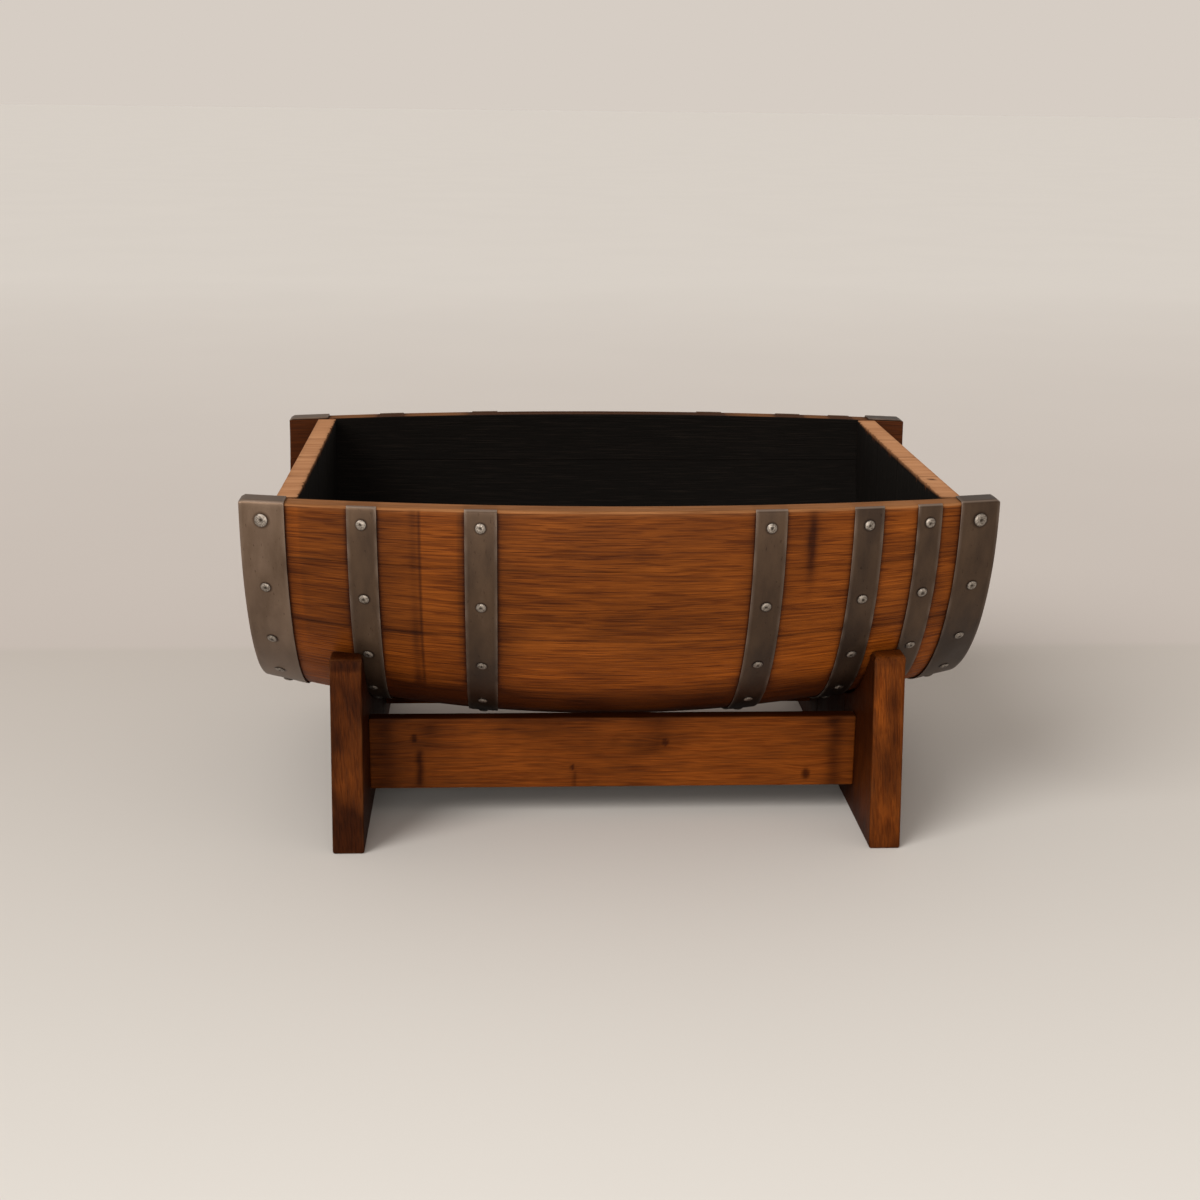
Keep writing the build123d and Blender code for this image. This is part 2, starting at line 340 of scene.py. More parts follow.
def settle(piece: bpy.types.Object, body: Body, node: str, finish: bpy.types.Material) -> None:
    """Dresses a piece, lets it ride on its body and stand for its node, and reports it.

    Args:
        piece: the finished piece.
        body: the body that it rides on.
        node: the node that it stands for.
        finish: its material.
    """
    piece.data.materials.append(finish)
    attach(piece, body.value)
    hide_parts(node)
    log.info("%s: %d faces for %s", piece.name, len(piece.data.polygons), node)


# ---------------------------------------------------------------------------------------
# Finishes
# ---------------------------------------------------------------------------------------
def linear(code: str) -> tuple[float, float, float, float]:
    """Turns an sRGB hex colour into a linear one.

    Args:
        code: the colour, as a hash and six hex digits.

    Returns:
        Red, green, blue and an alpha of 1.
    """
    parts = [int(code[i:i + 2], 16) / 255 for i in (1, 3, 5)]
    turned = [p / 12.92 if p <= 0.04045 else ((p + 0.055) / 1.055) ** 2.4 for p in parts]
    return (*turned, 1.0)


def add(tree: bpy.types.NodeTree, kind: str, settings: dict | None = None,
        links: dict | None = None) -> bpy.types.Node:
    """Adds a node with its settings and links.

    Args:
        tree: the node tree.
        kind: the node's type name.
        settings: values by property name or by input name or number; "stops" holds a colour
            ramp's stops as (place, hex colour).
        links: sockets to link in, by input name or number.

    Returns:
        The node.
    """
    node = tree.nodes.new(kind)
    for key, value in (settings or {}).items():
        if key == "stops":
            elements = node.color_ramp.elements
            while len(elements) < len(value):
                elements.new(0.5)
            for element, (place, colour) in zip(elements, value):
                element.position = place
                element.color = linear(colour)
        elif isinstance(key, str) and hasattr(node, key):
            setattr(node, key, value)
        else:
            node.inputs[key].default_value = value
    for key, source in (links or {}).items():
        tree.links.new(source, node.inputs[key])
    return node


def blank_material(name: str) -> tuple[bpy.types.Material, bpy.types.NodeTree, bpy.types.Node]:
    """Starts a material.

    Args:
        name: its name.

    Returns:
        The material, its cleared node tree, and its surface shader, already joined up.
    """
    material = bpy.data.materials.new(name)
    material.use_nodes = True
    tree = material.node_tree
    tree.nodes.clear()
    shader = add(tree, "ShaderNodeBsdfPrincipled")
    add(tree, "ShaderNodeOutputMaterial", links={"Surface": shader.outputs[0]})
    return material, tree, shader


def surface(tree: bpy.types.NodeTree, shader: bpy.types.Node, settings: dict, colour: bpy.types.NodeSocket,
            rough: bpy.types.NodeSocket, relief: tuple[bpy.types.NodeSocket, float, float]) -> None:
    """Joins a finish's colour, roughness and relief to its shader.

    Args:
        tree: the node tree.
        shader: the surface shader.
        settings: the shader's own values, by input name.
        colour: the finished colour.
        rough: the finished roughness.
        relief: its height, how strong it is, and its depth in millimetres.
    """
    height, strength, depth = relief
    bump = add(tree, "ShaderNodeBump", {"Strength": strength, "Distance": depth * MM}, {"Height": height})
    for key, source in (("Base Color", colour), ("Roughness", rough), ("Normal", bump.outputs[0])):
        tree.links.new(source, shader.inputs[key])
    for key, value in settings.items():
        shader.inputs[key].default_value = value


@dataclass(frozen=True)
class StainedTimber:
    """Planed and stained timber, oiled to a satin.

    To the eye: long fibre lines, broader bands of early and late wood, open pores drawn
    coarser than life so that they show, blotches where the stain took unevenly, grime and
    painted contact shadow beside the steel, pale sawn edges, and soot where it was charred.
    Pieces carry the fields grain (metres along, across and through the board), char, sawn,
    grime (dirt and painted shade), fade and wear (rubbed wear and painted
    light).
    """

    name: str
    dark: str
    mid: str
    light: str
    pale: str = "#94643d"
    pale_dark: str = "#6a4123"
    soot: str = "#0b0806"
    soot_light: str = "#1c1612"
    fibre_mm: float = 1.7
    fibre_stretch: float = 36.0
    pore_fineness: float = 0.62
    pore_stretch: float = 34.0
    band_mm: float = 10.0
    band_stretch: float = 24.0
    blotch_mm: float = 110.0
    blotch_stretch: float = 2.0
    pore_tint: tuple[float, float, float] = (0.62, 0.55, 0.48)
    kept_tint: tuple[float, float, float] = (1.9, 1.8, 1.4)
    dirt_and_shade_tint: tuple[float, float, float] = (0.16, 0.12, 0.10)
    # How much fibres, bands and blotches count in the stain's depth.
    weights: tuple[float, float, float] = (0.50, 0.27, 0.23)
    # Where in its noise an open pore begins, and where it is full.
    pore_cut: tuple[float, float] = (0.53, 0.62)
    roughness: float = 0.52
    rough_spread: tuple[float, float] = (-0.1, 0.16)
    dry_roughness: float = 0.82
    # Strength of the relief, and its depth in millimetres.
    relief: tuple[float, float] = (0.45, 0.6)
    ior: float = 1.5
    sheen_level: float = 0.08

    def material(self) -> bpy.types.Material:
        """Builds the material."""
        material, tree, shader = blank_material(self.name)
        grain = add(tree, "ShaderNodeAttribute", {"attribute_name": "grain"}).outputs["Vector"]
        marks = {
            key: add(tree, "ShaderNodeAttribute", {"attribute_name": key}).outputs["Fac"]
            for key in ("char", "sawn", "grime", "fade", "wear")
        }
        # Each pattern is a noise of its own size across the board, drawn out along the grain;
        # the bands are bent as well, so that they swing and close.
        fibre = 1 / (self.fibre_mm * MM)
        pore = fibre * self.pore_fineness
        band = 1 / (self.band_mm * MM)
        blotch = 1 / (self.blotch_mm * MM)
        patterns = {
            "fibre": ((fibre / self.fibre_stretch, fibre, fibre), {"Detail": 5.0, "Roughness": 0.62}),
            "pore": ((fibre / self.pore_stretch, pore, pore), {"Detail": 2.0}),
            "band": ((band / self.band_stretch, band, band / 2), {"Detail": 2.5, "Distortion": 0.7}),
            "blotch": ((blotch / self.blotch_stretch, blotch, blotch), {"Detail": 3.0}),
        }
        for key, (scale, settings) in patterns.items():
            place = add(tree, "ShaderNodeMapping", {"Scale": scale}, {"Vector": grain})
            marks[key] = add(tree, "ShaderNodeTexNoise", {"Scale": 1.0, **settings},
                             {"Vector": place.outputs[0]}).outputs[0]
        pores = add(tree, "ShaderNodeMapRange", {"From Min": self.pore_cut[0], "From Max": self.pore_cut[1]},
                    {0: marks["pore"]}).outputs[0]
        # The stain's depth: the patterns weighed together.
        depth = add(tree, "ShaderNodeMath", {"operation": "MULTIPLY_ADD", 1: self.weights[0], 2: 0.0},
                    {0: marks["fibre"]})
        for key, weight in zip(("band", "blotch"), self.weights[1:]):
            depth = add(tree, "ShaderNodeMath", {"operation": "MULTIPLY_ADD", 1: weight},
                        {0: marks[key], 2: depth.outputs[0]})
        ramps = {
            key: add(tree, "ShaderNodeValToRGB", {"stops": stops}, {0: source}).outputs[0]
            for key, stops, source in (
                ("stain", [(0.34, self.dark), (0.5, self.mid), (0.66, self.light)], depth.outputs[0]),
                ("bare", [(0.38, self.pale_dark), (0.56, self.pale)], depth.outputs[0]),
                ("scuff", [(0.52, self.soot), (0.72, self.soot_light)], marks["fibre"]),
            )
        }
        # From the stain upwards: pores, wood that a hoop kept from the weather, bare sawn edges,
        # dirt and painted shade, rubbed edges and painted light, and soot with long faint scuffs.
        colour = ramps["stain"]
        for blend, share, over in (
            ("MULTIPLY", pores, (*self.pore_tint, 1)),
            ("MULTIPLY", marks["fade"], (*self.kept_tint, 1)),
            ("MIX", marks["sawn"], ramps["bare"]),
            ("MULTIPLY", marks["grime"], (*self.dirt_and_shade_tint, 1)),
            ("MIX", marks["wear"], linear(self.pale_dark)),
            ("MIX", marks["char"], ramps["scuff"]),
        ):
            flat = isinstance(over, tuple)
            settings = {"data_type": "RGBA", "blend_type": blend} | ({7: over} if flat else {})
            links = {0: share, 6: colour} | ({} if flat else {7: over})
            colour = add(tree, "ShaderNodeMix", settings, links).outputs[2]
        smoothest, roughest = (self.roughness + spread for spread in self.rough_spread)
        satin = add(tree, "ShaderNodeMapRange", {"To Min": smoothest, "To Max": roughest}, {0: marks["band"]})
        dry = add(tree, "ShaderNodeMath", {"operation": "MAXIMUM"}, {0: marks["char"], 1: marks["sawn"]})
        rough = add(tree, "ShaderNodeMix", {"data_type": "FLOAT", 3: self.dry_roughness},
                    {0: dry.outputs[0], 2: satin.outputs[0]})
        height = add(tree, "ShaderNodeMath", {"operation": "SUBTRACT"}, {0: marks["fibre"], 1: pores})
        surface(tree, shader, {"IOR": self.ior, "Specular IOR Level": self.sheen_level}, colour,
                rough.outputs[0], (height.outputs[0], *self.relief))
        return material


@dataclass(frozen=True)
class HotRolledSteel:
    """Hot-rolled steel strip, hammered on and left outdoors.

    To the eye: brown-grey scale, cloudy, with small pits, paler edges, rubbed and with painted
    highlights, a painted highlight across the bend at each end, and a dark ring round each nail
    head, dirt with painted contact shadow.  Pieces carry the fields grain, grime,
    wear, tone, and nail, which is one unit long at the edge of a nail's head.
    """

    name: str = "hot_rolled_steel_strip"
    scale_dark: str = "#3b2d23"
    scale_mid: str = "#564333"
    scale_light: str = "#776353"
    rubbed: str = "#a39184"
    cloud_mm: float = 34.0
    pit_mm: float = 2.6
    pit_tint: tuple[float, float, float] = (0.55, 0.48, 0.42)
    dirt_and_shade_tint: tuple[float, float, float] = (0.32, 0.26, 0.22)
    # Where in its noise a pit begins, and where it is full.
    pit_cut: tuple[float, float] = (0.66, 0.76)
    # How far the dark ring round a nail head reaches, in nail heads, and its strength; the ring is dirt with
    # painted contact shadow.
    ring: tuple[float, float] = (1.45, 0.9)
    metallic: float = 0.75
    roughness: float = 0.47
    rough_spread: tuple[float, float] = (-0.12, 0.16)
    relief: tuple[float, float] = (0.3, 0.7)

    def material(self) -> bpy.types.Material:
        """Builds the material."""
        material, tree, shader = blank_material(self.name)
        fields = {
            key: add(tree, "ShaderNodeAttribute", {"attribute_name": key}).outputs[output]
            for key, output in (("grain", "Vector"), ("nail", "Vector"), ("wear", "Fac"), ("grime", "Fac"),
                                ("tone", "Fac"))
        }
        cloud, pits = (
            add(tree, "ShaderNodeTexNoise", {"Scale": 1 / (size * MM), **settings},
                {"Vector": fields["grain"]}).outputs[0]
            for size, settings in (
                (self.cloud_mm, {"Detail": 6.0, "Roughness": 0.6}),
                (self.pit_mm, {"Detail": 2.0}),
            )
        )
        pit = add(tree, "ShaderNodeMapRange", {"From Min": self.pit_cut[0], "From Max": self.pit_cut[1]},
                  {0: pits}).outputs[0]
        shade = add(tree, "ShaderNodeMath", {"operation": "MULTIPLY_ADD", 1: 0.5},
                    {0: cloud, 2: fields["tone"]})
        scale = add(tree, "ShaderNodeValToRGB",
                    {"stops": [(0.22, self.scale_dark), (0.42, self.scale_mid), (0.64, self.scale_light)]},
                    {0: shade.outputs[0]})
        from_nail = add(tree, "ShaderNodeVectorMath", {"operation": "LENGTH"}, {0: fields["nail"]})
        ring = add(tree, "ShaderNodeMapRange",
                   {"From Min": 1.0, "From Max": self.ring[0], "To Min": self.ring[1], "To Max": 0.0},
                   {0: from_nail.outputs["Value"]})
        dirt_and_shade = add(tree, "ShaderNodeMath", {"operation": "MAXIMUM"},
                    {0: fields["grime"], 1: ring.outputs[0]})
        colour = scale.outputs[0]
        for blend, share, over in (
            ("MULTIPLY", pit, (*self.pit_tint, 1)),
            ("MULTIPLY", dirt_and_shade.outputs[0], (*self.dirt_and_shade_tint, 1)),
            ("MIX", fields["wear"], linear(self.rubbed)),
        ):
            colour = add(tree, "ShaderNodeMix", {"data_type": "RGBA", "blend_type": blend, 7: over},
                         {0: share, 6: colour}).outputs[2]
        smoothest, roughest = (self.roughness + spread for spread in self.rough_spread)
        rough = add(tree, "ShaderNodeMapRange", {"To Min": smoothest, "To Max": roughest}, {0: cloud})
        height = add(tree, "ShaderNodeMath", {"operation": "SUBTRACT"}, {0: cloud, 1: pit})
        surface(tree, shader, {"Metallic": self.metallic}, colour, rough.outputs[0],
                (height.outputs[0], *self.relief))
        return material


@dataclass(frozen=True)
class BrightSteel:
    """Turned or headed steel, zinc-bright.

    To the eye: light metal with fine scratches, darker where grime sits in its hollows, with
    painted shade round the edges of the nail heads.  Pieces carry the field grime.
    """

    name: str
    bright: str = "#aaa197"
    dull: str = "#6a6058"
    scratch_mm: float = 1.5
    dirt_and_shade_tint: tuple[float, float, float] = (0.14, 0.12, 0.10)
    roughness: float = 0.42
    rough_spread: tuple[float, float] = (-0.08, 0.2)
    relief: tuple[float, float] = (0.2, 0.2)

    def material(self) -> bpy.types.Material:
        """Builds the material."""
        material, tree, shader = blank_material(self.name)
        place = add(tree, "ShaderNodeTexCoord").outputs["Object"]
        grime = add(tree, "ShaderNodeAttribute", {"attribute_name": "grime"}).outputs["Fac"]
        scratch = add(tree, "ShaderNodeTexNoise",
                      {"Scale": 1 / (self.scratch_mm * MM), "Detail": 4.0}, {"Vector": place}).outputs[0]
        metal = add(tree, "ShaderNodeValToRGB", {"stops": [(0.35, self.dull), (0.6, self.bright)]},
                    {0: scratch})
        soiled = add(tree, "ShaderNodeMix",
                     {"data_type": "RGBA", "blend_type": "MULTIPLY", 7: (*self.dirt_and_shade_tint, 1)},
                     {0: grime, 6: metal.outputs[0]})
        smoothest, roughest = (self.roughness + spread for spread in self.rough_spread)
        rough = add(tree, "ShaderNodeMapRange", {"To Min": smoothest, "To Max": roughest}, {0: scratch})
        surface(tree, shader, {"Metallic": 1.0}, soiled.outputs[2], rough.outputs[0], (scratch, *self.relief))
        return material


@dataclass(frozen=True)
class TurnedBeech:
    """Beech dowel, turned and dry: pale, with short flecks."""

    name: str = "turned_beech"
    dark: str = "#a9794f"
    light: str = "#cfa67a"
    fleck_mm: float = 1.2
    fleck_stretch: float = 12.0
    roughness: float = 0.6

    def material(self) -> bpy.types.Material:
        """Builds the material."""
        material, tree, shader = blank_material(self.name)
        place = add(tree, "ShaderNodeTexCoord").outputs["Object"]
        across = 1 / (self.fleck_mm * MM)
        drawn = add(tree, "ShaderNodeMapping", {"Scale": (across, across / self.fleck_stretch, across)},
                    {"Vector": place})
        fleck = add(tree, "ShaderNodeTexNoise", {"Scale": 1.0, "Detail": 4.0}, {"Vector": drawn.outputs[0]})
        colour = add(tree, "ShaderNodeValToRGB",
                     {"stops": [(0.35, self.dark), (0.65, self.light)]}, {0: fleck.outputs[0]})
        tree.links.new(colour.outputs[0], shader.inputs["Base Color"])
        shader.inputs["Roughness"].default_value = self.roughness
        return material


@dataclass(frozen=True)
class StudioFloor:
    """Smooth painted studio floor.  A line parts it from a paler stretch behind the object.
    Its tone darkens from the front to the line and brightens again behind it: painted light fall-off.
    """

    name: str = "painted_studio_floor"
    near: str = "#e0dfdc"
    line_near: str = "#c6c1bc"
    line_far: str = "#cbc5c1"
    far: str = "#dfddda"
    near_y: float = -1.3
    line_y: float = 0.585
    line_width: float = 0.0015
    far_y: float = 7.0
    cloud_scale: float = 1.3
    cloud_tint: float = 0.96
    roughness: float = 0.75
    sheen_level: float = 0.1

    def material(self) -> bpy.types.Material:
        """Builds the material."""
        material, tree, shader = blank_material(self.name)
        place = add(tree, "ShaderNodeTexCoord").outputs["Object"]
        parts = add(tree, "ShaderNodeSeparateXYZ", links={0: place})
        share = add(tree, "ShaderNodeMapRange", {"From Min": self.near_y, "From Max": self.far_y},
                    {0: parts.outputs[1]})
        line = (self.line_y - self.near_y) / (self.far_y - self.near_y)
        tone = add(tree, "ShaderNodeValToRGB",
                   {"stops": [(0.0, self.near), (line, self.line_near),
                              (line + self.line_width, self.line_far), (1.0, self.far)]},
                   {0: share.outputs[0]})
        cloud = add(tree, "ShaderNodeTexNoise", {"Scale": self.cloud_scale, "Detail": 2.0}, {"Vector": place})
        shade = add(tree, "ShaderNodeMix", {"data_type": "RGBA", "blend_type": "MULTIPLY",
                                            7: (self.cloud_tint,) * 3 + (1,)},
                    {0: cloud.outputs[0], 6: tone.outputs[0]})
        tree.links.new(shade.outputs[2], shader.inputs["Base Color"])
        shader.inputs["Roughness"].default_value = self.roughness
        shader.inputs["Specular IOR Level"].default_value = self.sheen_level
        return material


# ---------------------------------------------------------------------------------------
# The barrel
# ---------------------------------------------------------------------------------------
@dataclass(frozen=True)
class BarrelShape:
    """The bowed barrel that every stave, hoop, nail and head follows.

    Attributes:
        bulge: how much larger the radius is in the middle than at the ends.
        stave_thickness: thickness of a stave.
        stave_count: staves in the half barrel.
        stave_angle: degrees taken by each whole stave.
        hoop_thickness: thickness of the hoop strip.
        hoop_gap: space between a hoop and the staves.
        rim_nail_drop: how far a hoop's first and last nails are below the rim.
    """

    bulge: float = 60 * MM
    stave_thickness: float = 32 * MM
    stave_count: int = 11
    stave_angle: float = 17.2
    hoop_thickness: float = 2.5 * MM
    hoop_gap: float = 0.2 * MM
    rim_nail_drop: float = 22 * MM

    @property
    def half_length(self) -> float:
        """Half the length of the staves."""
        return float(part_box("stave_06")[1][0])

    @property
    def rim(self) -> float:
        """Height of the sawn rim."""
        return float(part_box("stave_01")[1][2])

    @property
    def bilge_radius(self) -> float:
        """Outside radius of the staves in the middle."""
        return -float(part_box("stave_01")[0][1])

    @property
    def hoop_outside(self) -> float:
        """From the staves to the outer face of a hoop."""
        return self.hoop_gap + self.hoop_thickness

    @property
    def arc_radius(self) -> float:
        """Radius of the staves' long bow."""
        return (self.half_length ** 2 + self.bulge ** 2) / (2 * self.bulge)

    def radius(self, x: np.ndarray | float, offset: np.ndarray | float = 0.0) -> np.ndarray:
        """Distance from the barrel's axis to its bow at x, moved outward by offset.

        The bow is a circle: centre distance + sqrt((arc radius + offset)^2 - x^2).
        """
        centre = self.bilge_radius - self.arc_radius
        return centre + np.sqrt((self.arc_radius + offset) ** 2 - np.square(x))

    def place(self, x: np.ndarray, angle: np.ndarray, offset: np.ndarray) -> np.ndarray:
        """Points at x, at an angle in radians below the front rim, at an offset from the bow."""
        r = self.radius(x, offset)
        return np.stack([x, -r * np.cos(angle), self.rim - r * np.sin(angle)], axis=-1)

    def stave_edges(self) -> list[float]:
        """Degrees below the front rim at which one stave ends and the next begins."""
        whole = self.stave_count - 2
        first = (180 - whole * self.stave_angle) / 2
        return [0.0] + [first + i * self.stave_angle for i in range(whole + 1)] + [180.0]

    def nail_angles(self, x: float) -> list[float]:
        """Where the nails of a hoop stand: one in the middle of each stave, the end ones at
        their own drop below the rim.

        Args:
            x: the hoop's middle.

        Returns:
            Degrees below the front rim.
        """
        edges = self.stave_edges()
        rim = math.degrees(self.rim_nail_drop / float(self.radius(x)))
        middle = [(a + b) / 2 for a, b in zip(edges[1:-2], edges[2:-1])]
        return [rim] + middle + [180 - rim]


# The hoops from left to right, and how much of its dark scale each has lost.
HOOPS = {
    "left_chime_hoop": 0.31, "left_quarter_hoop": 0.13, "left_bilge_hoop": 0.11,
    "right_bilge_hoop": 0.06, "right_quarter_hoop": 0.03, "right_collar_hoop": 0.09,
    "right_chime_hoop": 0.03,
}


def painted_belly_shade(x: np.ndarray | float, angle: np.ndarray) -> np.ndarray:
    """Painted shade on the belly between the end frames, darkest beside them.

    Args:
        x: place along the barrel.
        angle: place round it, from the front rim, in radians.

    Returns:
        Painted shade to add at each point.
    """
    frame_low, frame_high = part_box("right_frame_front_board")
    starts, full = (math.sin(math.radians(degrees)) for degrees in (42, 56))
    low_down = smooth(np.sin(angle), starts, full)
    between = 1 - smooth(np.abs(x), frame_low[0], frame_high[0])
    return (0.86 + 0.08 * smooth(np.abs(x), 0.08, 0.24)) * low_down * between


@dataclass
class Staves:
    """The eleven bowed staves, each its own piece, with eased joints and a sawn rim.

    Attributes:
        shape: the barrel.
        joint_radius: easing of a stave's edges.
        rim_radius: rounding of the sawn rim's outer edge, whose width wavers as if chipped.
        inner_rim_radius: rounding of the sawn rim's inner edge.
        warp: how far the outside wavers, as boards are never quite flat.
        step: spacing of the mesh along a stave.
        across_step: its spacing across and through a stave.
        hoop_dirt_and_shadow: strength and reach of the close dark line beside a hoop, dirt with
            painted contact shadow, and of the wide dirt there.
        joint_depths: strength of the dark in every other joint, and in those between.
        joint_reach: reach of that dark.
        end_dirt: strength and reach of the dirt at the stave ends.
        clouds: strength of the dirt in clouds on the outside.
        ghost: from where to where a lost hoop kept the wood lighter.
        ghost_fade: how much lighter it is there.
        chime_ghost: the same for the paler band beside the left chime hoop.
        smudges: along, half length, angle, half angle and strength of the smudges at the right.
        tones: how far each stave has faded.
        lighter_below: how much lighter the wood is lower down.
        right_fade: how much lighter it is at the right.
        left_grime: how much dirtier it is at the left.
    """

    shape: BarrelShape
    joint_radius: float = 0.55 * MM
    rim_radius: float = 3.6 * MM
    inner_rim_radius: float = 1.6 * MM
    warp: float = 0.25 * MM
    step: float = 3.0 * MM
    across_step: float = 6.0 * MM
    hoop_dirt_and_shadow: Table = ((0.75, 2.2 * MM), (0.42, 14 * MM))
    joint_depths: tuple[float, float] = (0.75, 0.2)
    joint_reach: float = 1.0 * MM
    end_dirt: tuple[float, float] = (0.25, 12 * MM)
    clouds: float = 0.22
    ghost: tuple[float, float] = (-0.252, -0.205)
    ghost_fade: float = 0.30
    chime_ghost: tuple[float, float] = (-0.417, -0.398)
    smudges: Table = ((0.232, 0.006, 0.13, 0.15, 1.0), (0.228, 0.022, 0.1, 0.13, 0.5))
    tones: tuple[float, ...] = (0.07, 0.14, 0.10, 0.2, 0.3, 0.2, 0.15, 0.3, 0.1, 0.2, 0.12)
    # lighter_below: how much lighter the wood is lower down.
    lighter_below: float = 0.85
    right_fade: float = 0.28
    left_grime: float = 0.2

    def build(self, finish: bpy.types.Material) -> None:
        """Makes every stave.

        Args:
            finish: their material.
        """
        edges = self.shape.stave_edges()
        for index, (start, end) in enumerate(zip(edges[:-1], edges[1:])):
            self.stave(index, start, end, finish)

    def stave(self, index: int, start: float, end: float, finish: bpy.types.Material) -> None:
        """Makes one stave: a block whose length lies along X, whose width is bent round the
        barrel's axis and whose depth runs inward from the bow.

        Args:
            index: 0 for the stave at the front rim.
            start: its first edge, in degrees below the front rim.
            end: its last edge.
            finish: its material.
        """
        shape = self.shape
        first = index == 0
        at_rim = first or index == shape.stave_count - 1
        girth = math.radians(end - start) * shape.bilge_radius
        size = np.array([2 * shape.half_length, girth, shape.stave_thickness])
        points, quads, edge = block(size, self.rim_radius if at_rim else self.joint_radius,
                                    (self.step, self.across_step, self.across_step), self.joint_radius)
        s, t, w = points.T
        from_rim = np.ones(len(s))
        if at_rim:
            down = t if first else girth - t
            chipped = self.rim_radius * (1 + 0.25 * waver(s / 0.11, 0 * s, 7 + index))
            from_rim, rounded = rounded_over(down, w, self.rim_radius)
            w = np.where(down < chipped, rounded, w)
            inner, left = rounded_over(from_rim, size[2] - w, self.inner_rim_radius)
            w = size[2] - left
            t = inner if first else girth - inner
        x = s - shape.half_length
        warp = self.warp * waver(x / 0.23, t / 0.08, 40 + index)
        angle = math.radians(start) + t / shape.bilge_radius
        offset = -w + warp * (w < size[2] / 2) * smooth(from_rim, 0, 20 * MM)
        grain = np.stack([x, angle * shape.bilge_radius, w], axis=-1) + 1.37 * index * np.array([3, 2, 1])
        fields = {"grain": grain, **self.marks(index, x, t, w, edge, size, from_rim, angle)}
        piece = make_mesh("oak_stave_%02d" % (index + 1), shape.place(x, angle, offset), quads, fields)
        settle(piece, Body.TUB, "stave_%02d" % (index + 1), finish)

    def marks(self, index: int, x: np.ndarray, t: np.ndarray, w: np.ndarray, edge: np.ndarray,
              size: np.ndarray, from_rim: np.ndarray, angle: np.ndarray) -> Fields:
        """Fields of one stave: char, sawn, grime, fade and wear.

        Soot covers the inner face between the heads, and the sawn rim is bare.

        Args:
            index: 0 for the stave at the front rim.
            x: place along the barrel.
            t: place across the stave.
            w: place through it, from the outside.
            edge: distance from its nearest edge.
            size: its length, width and thickness.
            from_rim: distance below the sawn rim.
            angle: place round the barrel, from the front rim, in radians.

        Returns:
            The fields.
        """
        from_middle = np.abs(x)
        inner_x = float(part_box("right_head_board_2")[0][0])
        inside = smooth(w, size[2] - 2.2 * MM, size[2] - 0.9 * MM)
        outside = 1 - smooth(w, 1 * MM, 3 * MM)
        sawn = (1 - smooth(from_rim, 2.2 * MM, 4.2 * MM)) * (1 - inside)
        last = index == self.shape.stave_count - 1
        at_rim = last or index == 0
        # On the back rim, painted shade over the sawn top and just below it, darkest in the middle; on the
        # other staves, a dark line along the sawn rim.
        if last:
            rim_dirt_and_shade = (1.2 - 0.8 * smooth(from_middle, 0.1, 0.25)) * (1 - smooth(from_rim, 4 * MM, 8 * MM))
        else:
            rim_dirt_and_shade = 0.9 * bell(w, 4.6 * MM, 1.2 * MM) * (from_rim < 3 * MM)
        grime = rim_dirt_and_shade + self.seam_dirt_and_shadow(index, x, t, size[1], from_rim, angle)
        # Painted shade on the belly between the end frames, and weathering dirt on the outside.
        grime += painted_belly_shade(x, angle) * (1 - inside) + outside * self.weather(index, x, angle)
        scuffed = swell(x / 0.07, t / 0.05, 500 + index)
        wear = 0.5 * outside * fading(edge, 1.2 * MM) * scuffed * at_rim
        # Painted light: a pale lift on the inner face beyond the heads, which lies in shade.
        wear += 0.12 * inside * smooth(from_middle, inner_x + 10 * MM, inner_x + 30 * MM)
        return {
            "char": inside * (1 - smooth(from_middle, inner_x + 3 * MM, inner_x + 5 * MM)),
            "sawn": sawn,
            "grime": np.clip(grime, 0, 0.95) * (1 - (0.0 if last else 0.75) * sawn),
            "fade": self.fade(index, x, t, angle, inside, outside),
            "wear": wear,
        }

    def seam_dirt_and_shadow(self, index: int, x: np.ndarray, t: np.ndarray, width: float,
                  from_rim: np.ndarray, angle: np.ndarray) -> np.ndarray:
        """Dirt and painted contact shadow beside the hoops, and dirt in the joints and at the stave's ends.

        Beside a hoop it is the sum of two exponentials of the distance from the hoop's edge.

        Args:
            index: 0 for the stave at the front rim.
            x: place along the barrel.
            t: place across the stave.
            width: the stave's width.
            from_rim: distance below the sawn rim.
            angle: place round the barrel, from the front rim, in radians.

        Returns:
            Grime and painted shadow at each point.
        """
        strength, reach = self.end_dirt
        dirt = strength * fading(self.shape.half_length - np.abs(x), reach)
        broken = 0.6 + 0.4 * waver(angle / 0.21, x / 0.05, 90 + index)
        for name in HOOPS:
            low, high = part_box(name)
            away = np.maximum(np.maximum(low[0] - x, x - high[0]), 0)
            # The close term is dirt with the hoop's painted contact shadow; the wide one is dirt, broken up.
            for (strength, reach), cover in zip(self.hoop_dirt_and_shadow, (1, broken)):
                dirt += strength * cover * fading(away, reach)
        nearest = index + (t > width / 2)
        depth = np.where(nearest % 2 == 0, *self.joint_depths)
        joint = depth * (0.25 + 0.75 * smooth(np.abs(x), 0.12, 0.26)) + 0.25 * waver(x / 0.19, 0 * x, 60)
        below_rim = from_rim > 8 * MM
        return dirt + np.maximum(joint, 0) * fading(np.minimum(t, width - t), self.joint_reach) * below_rim

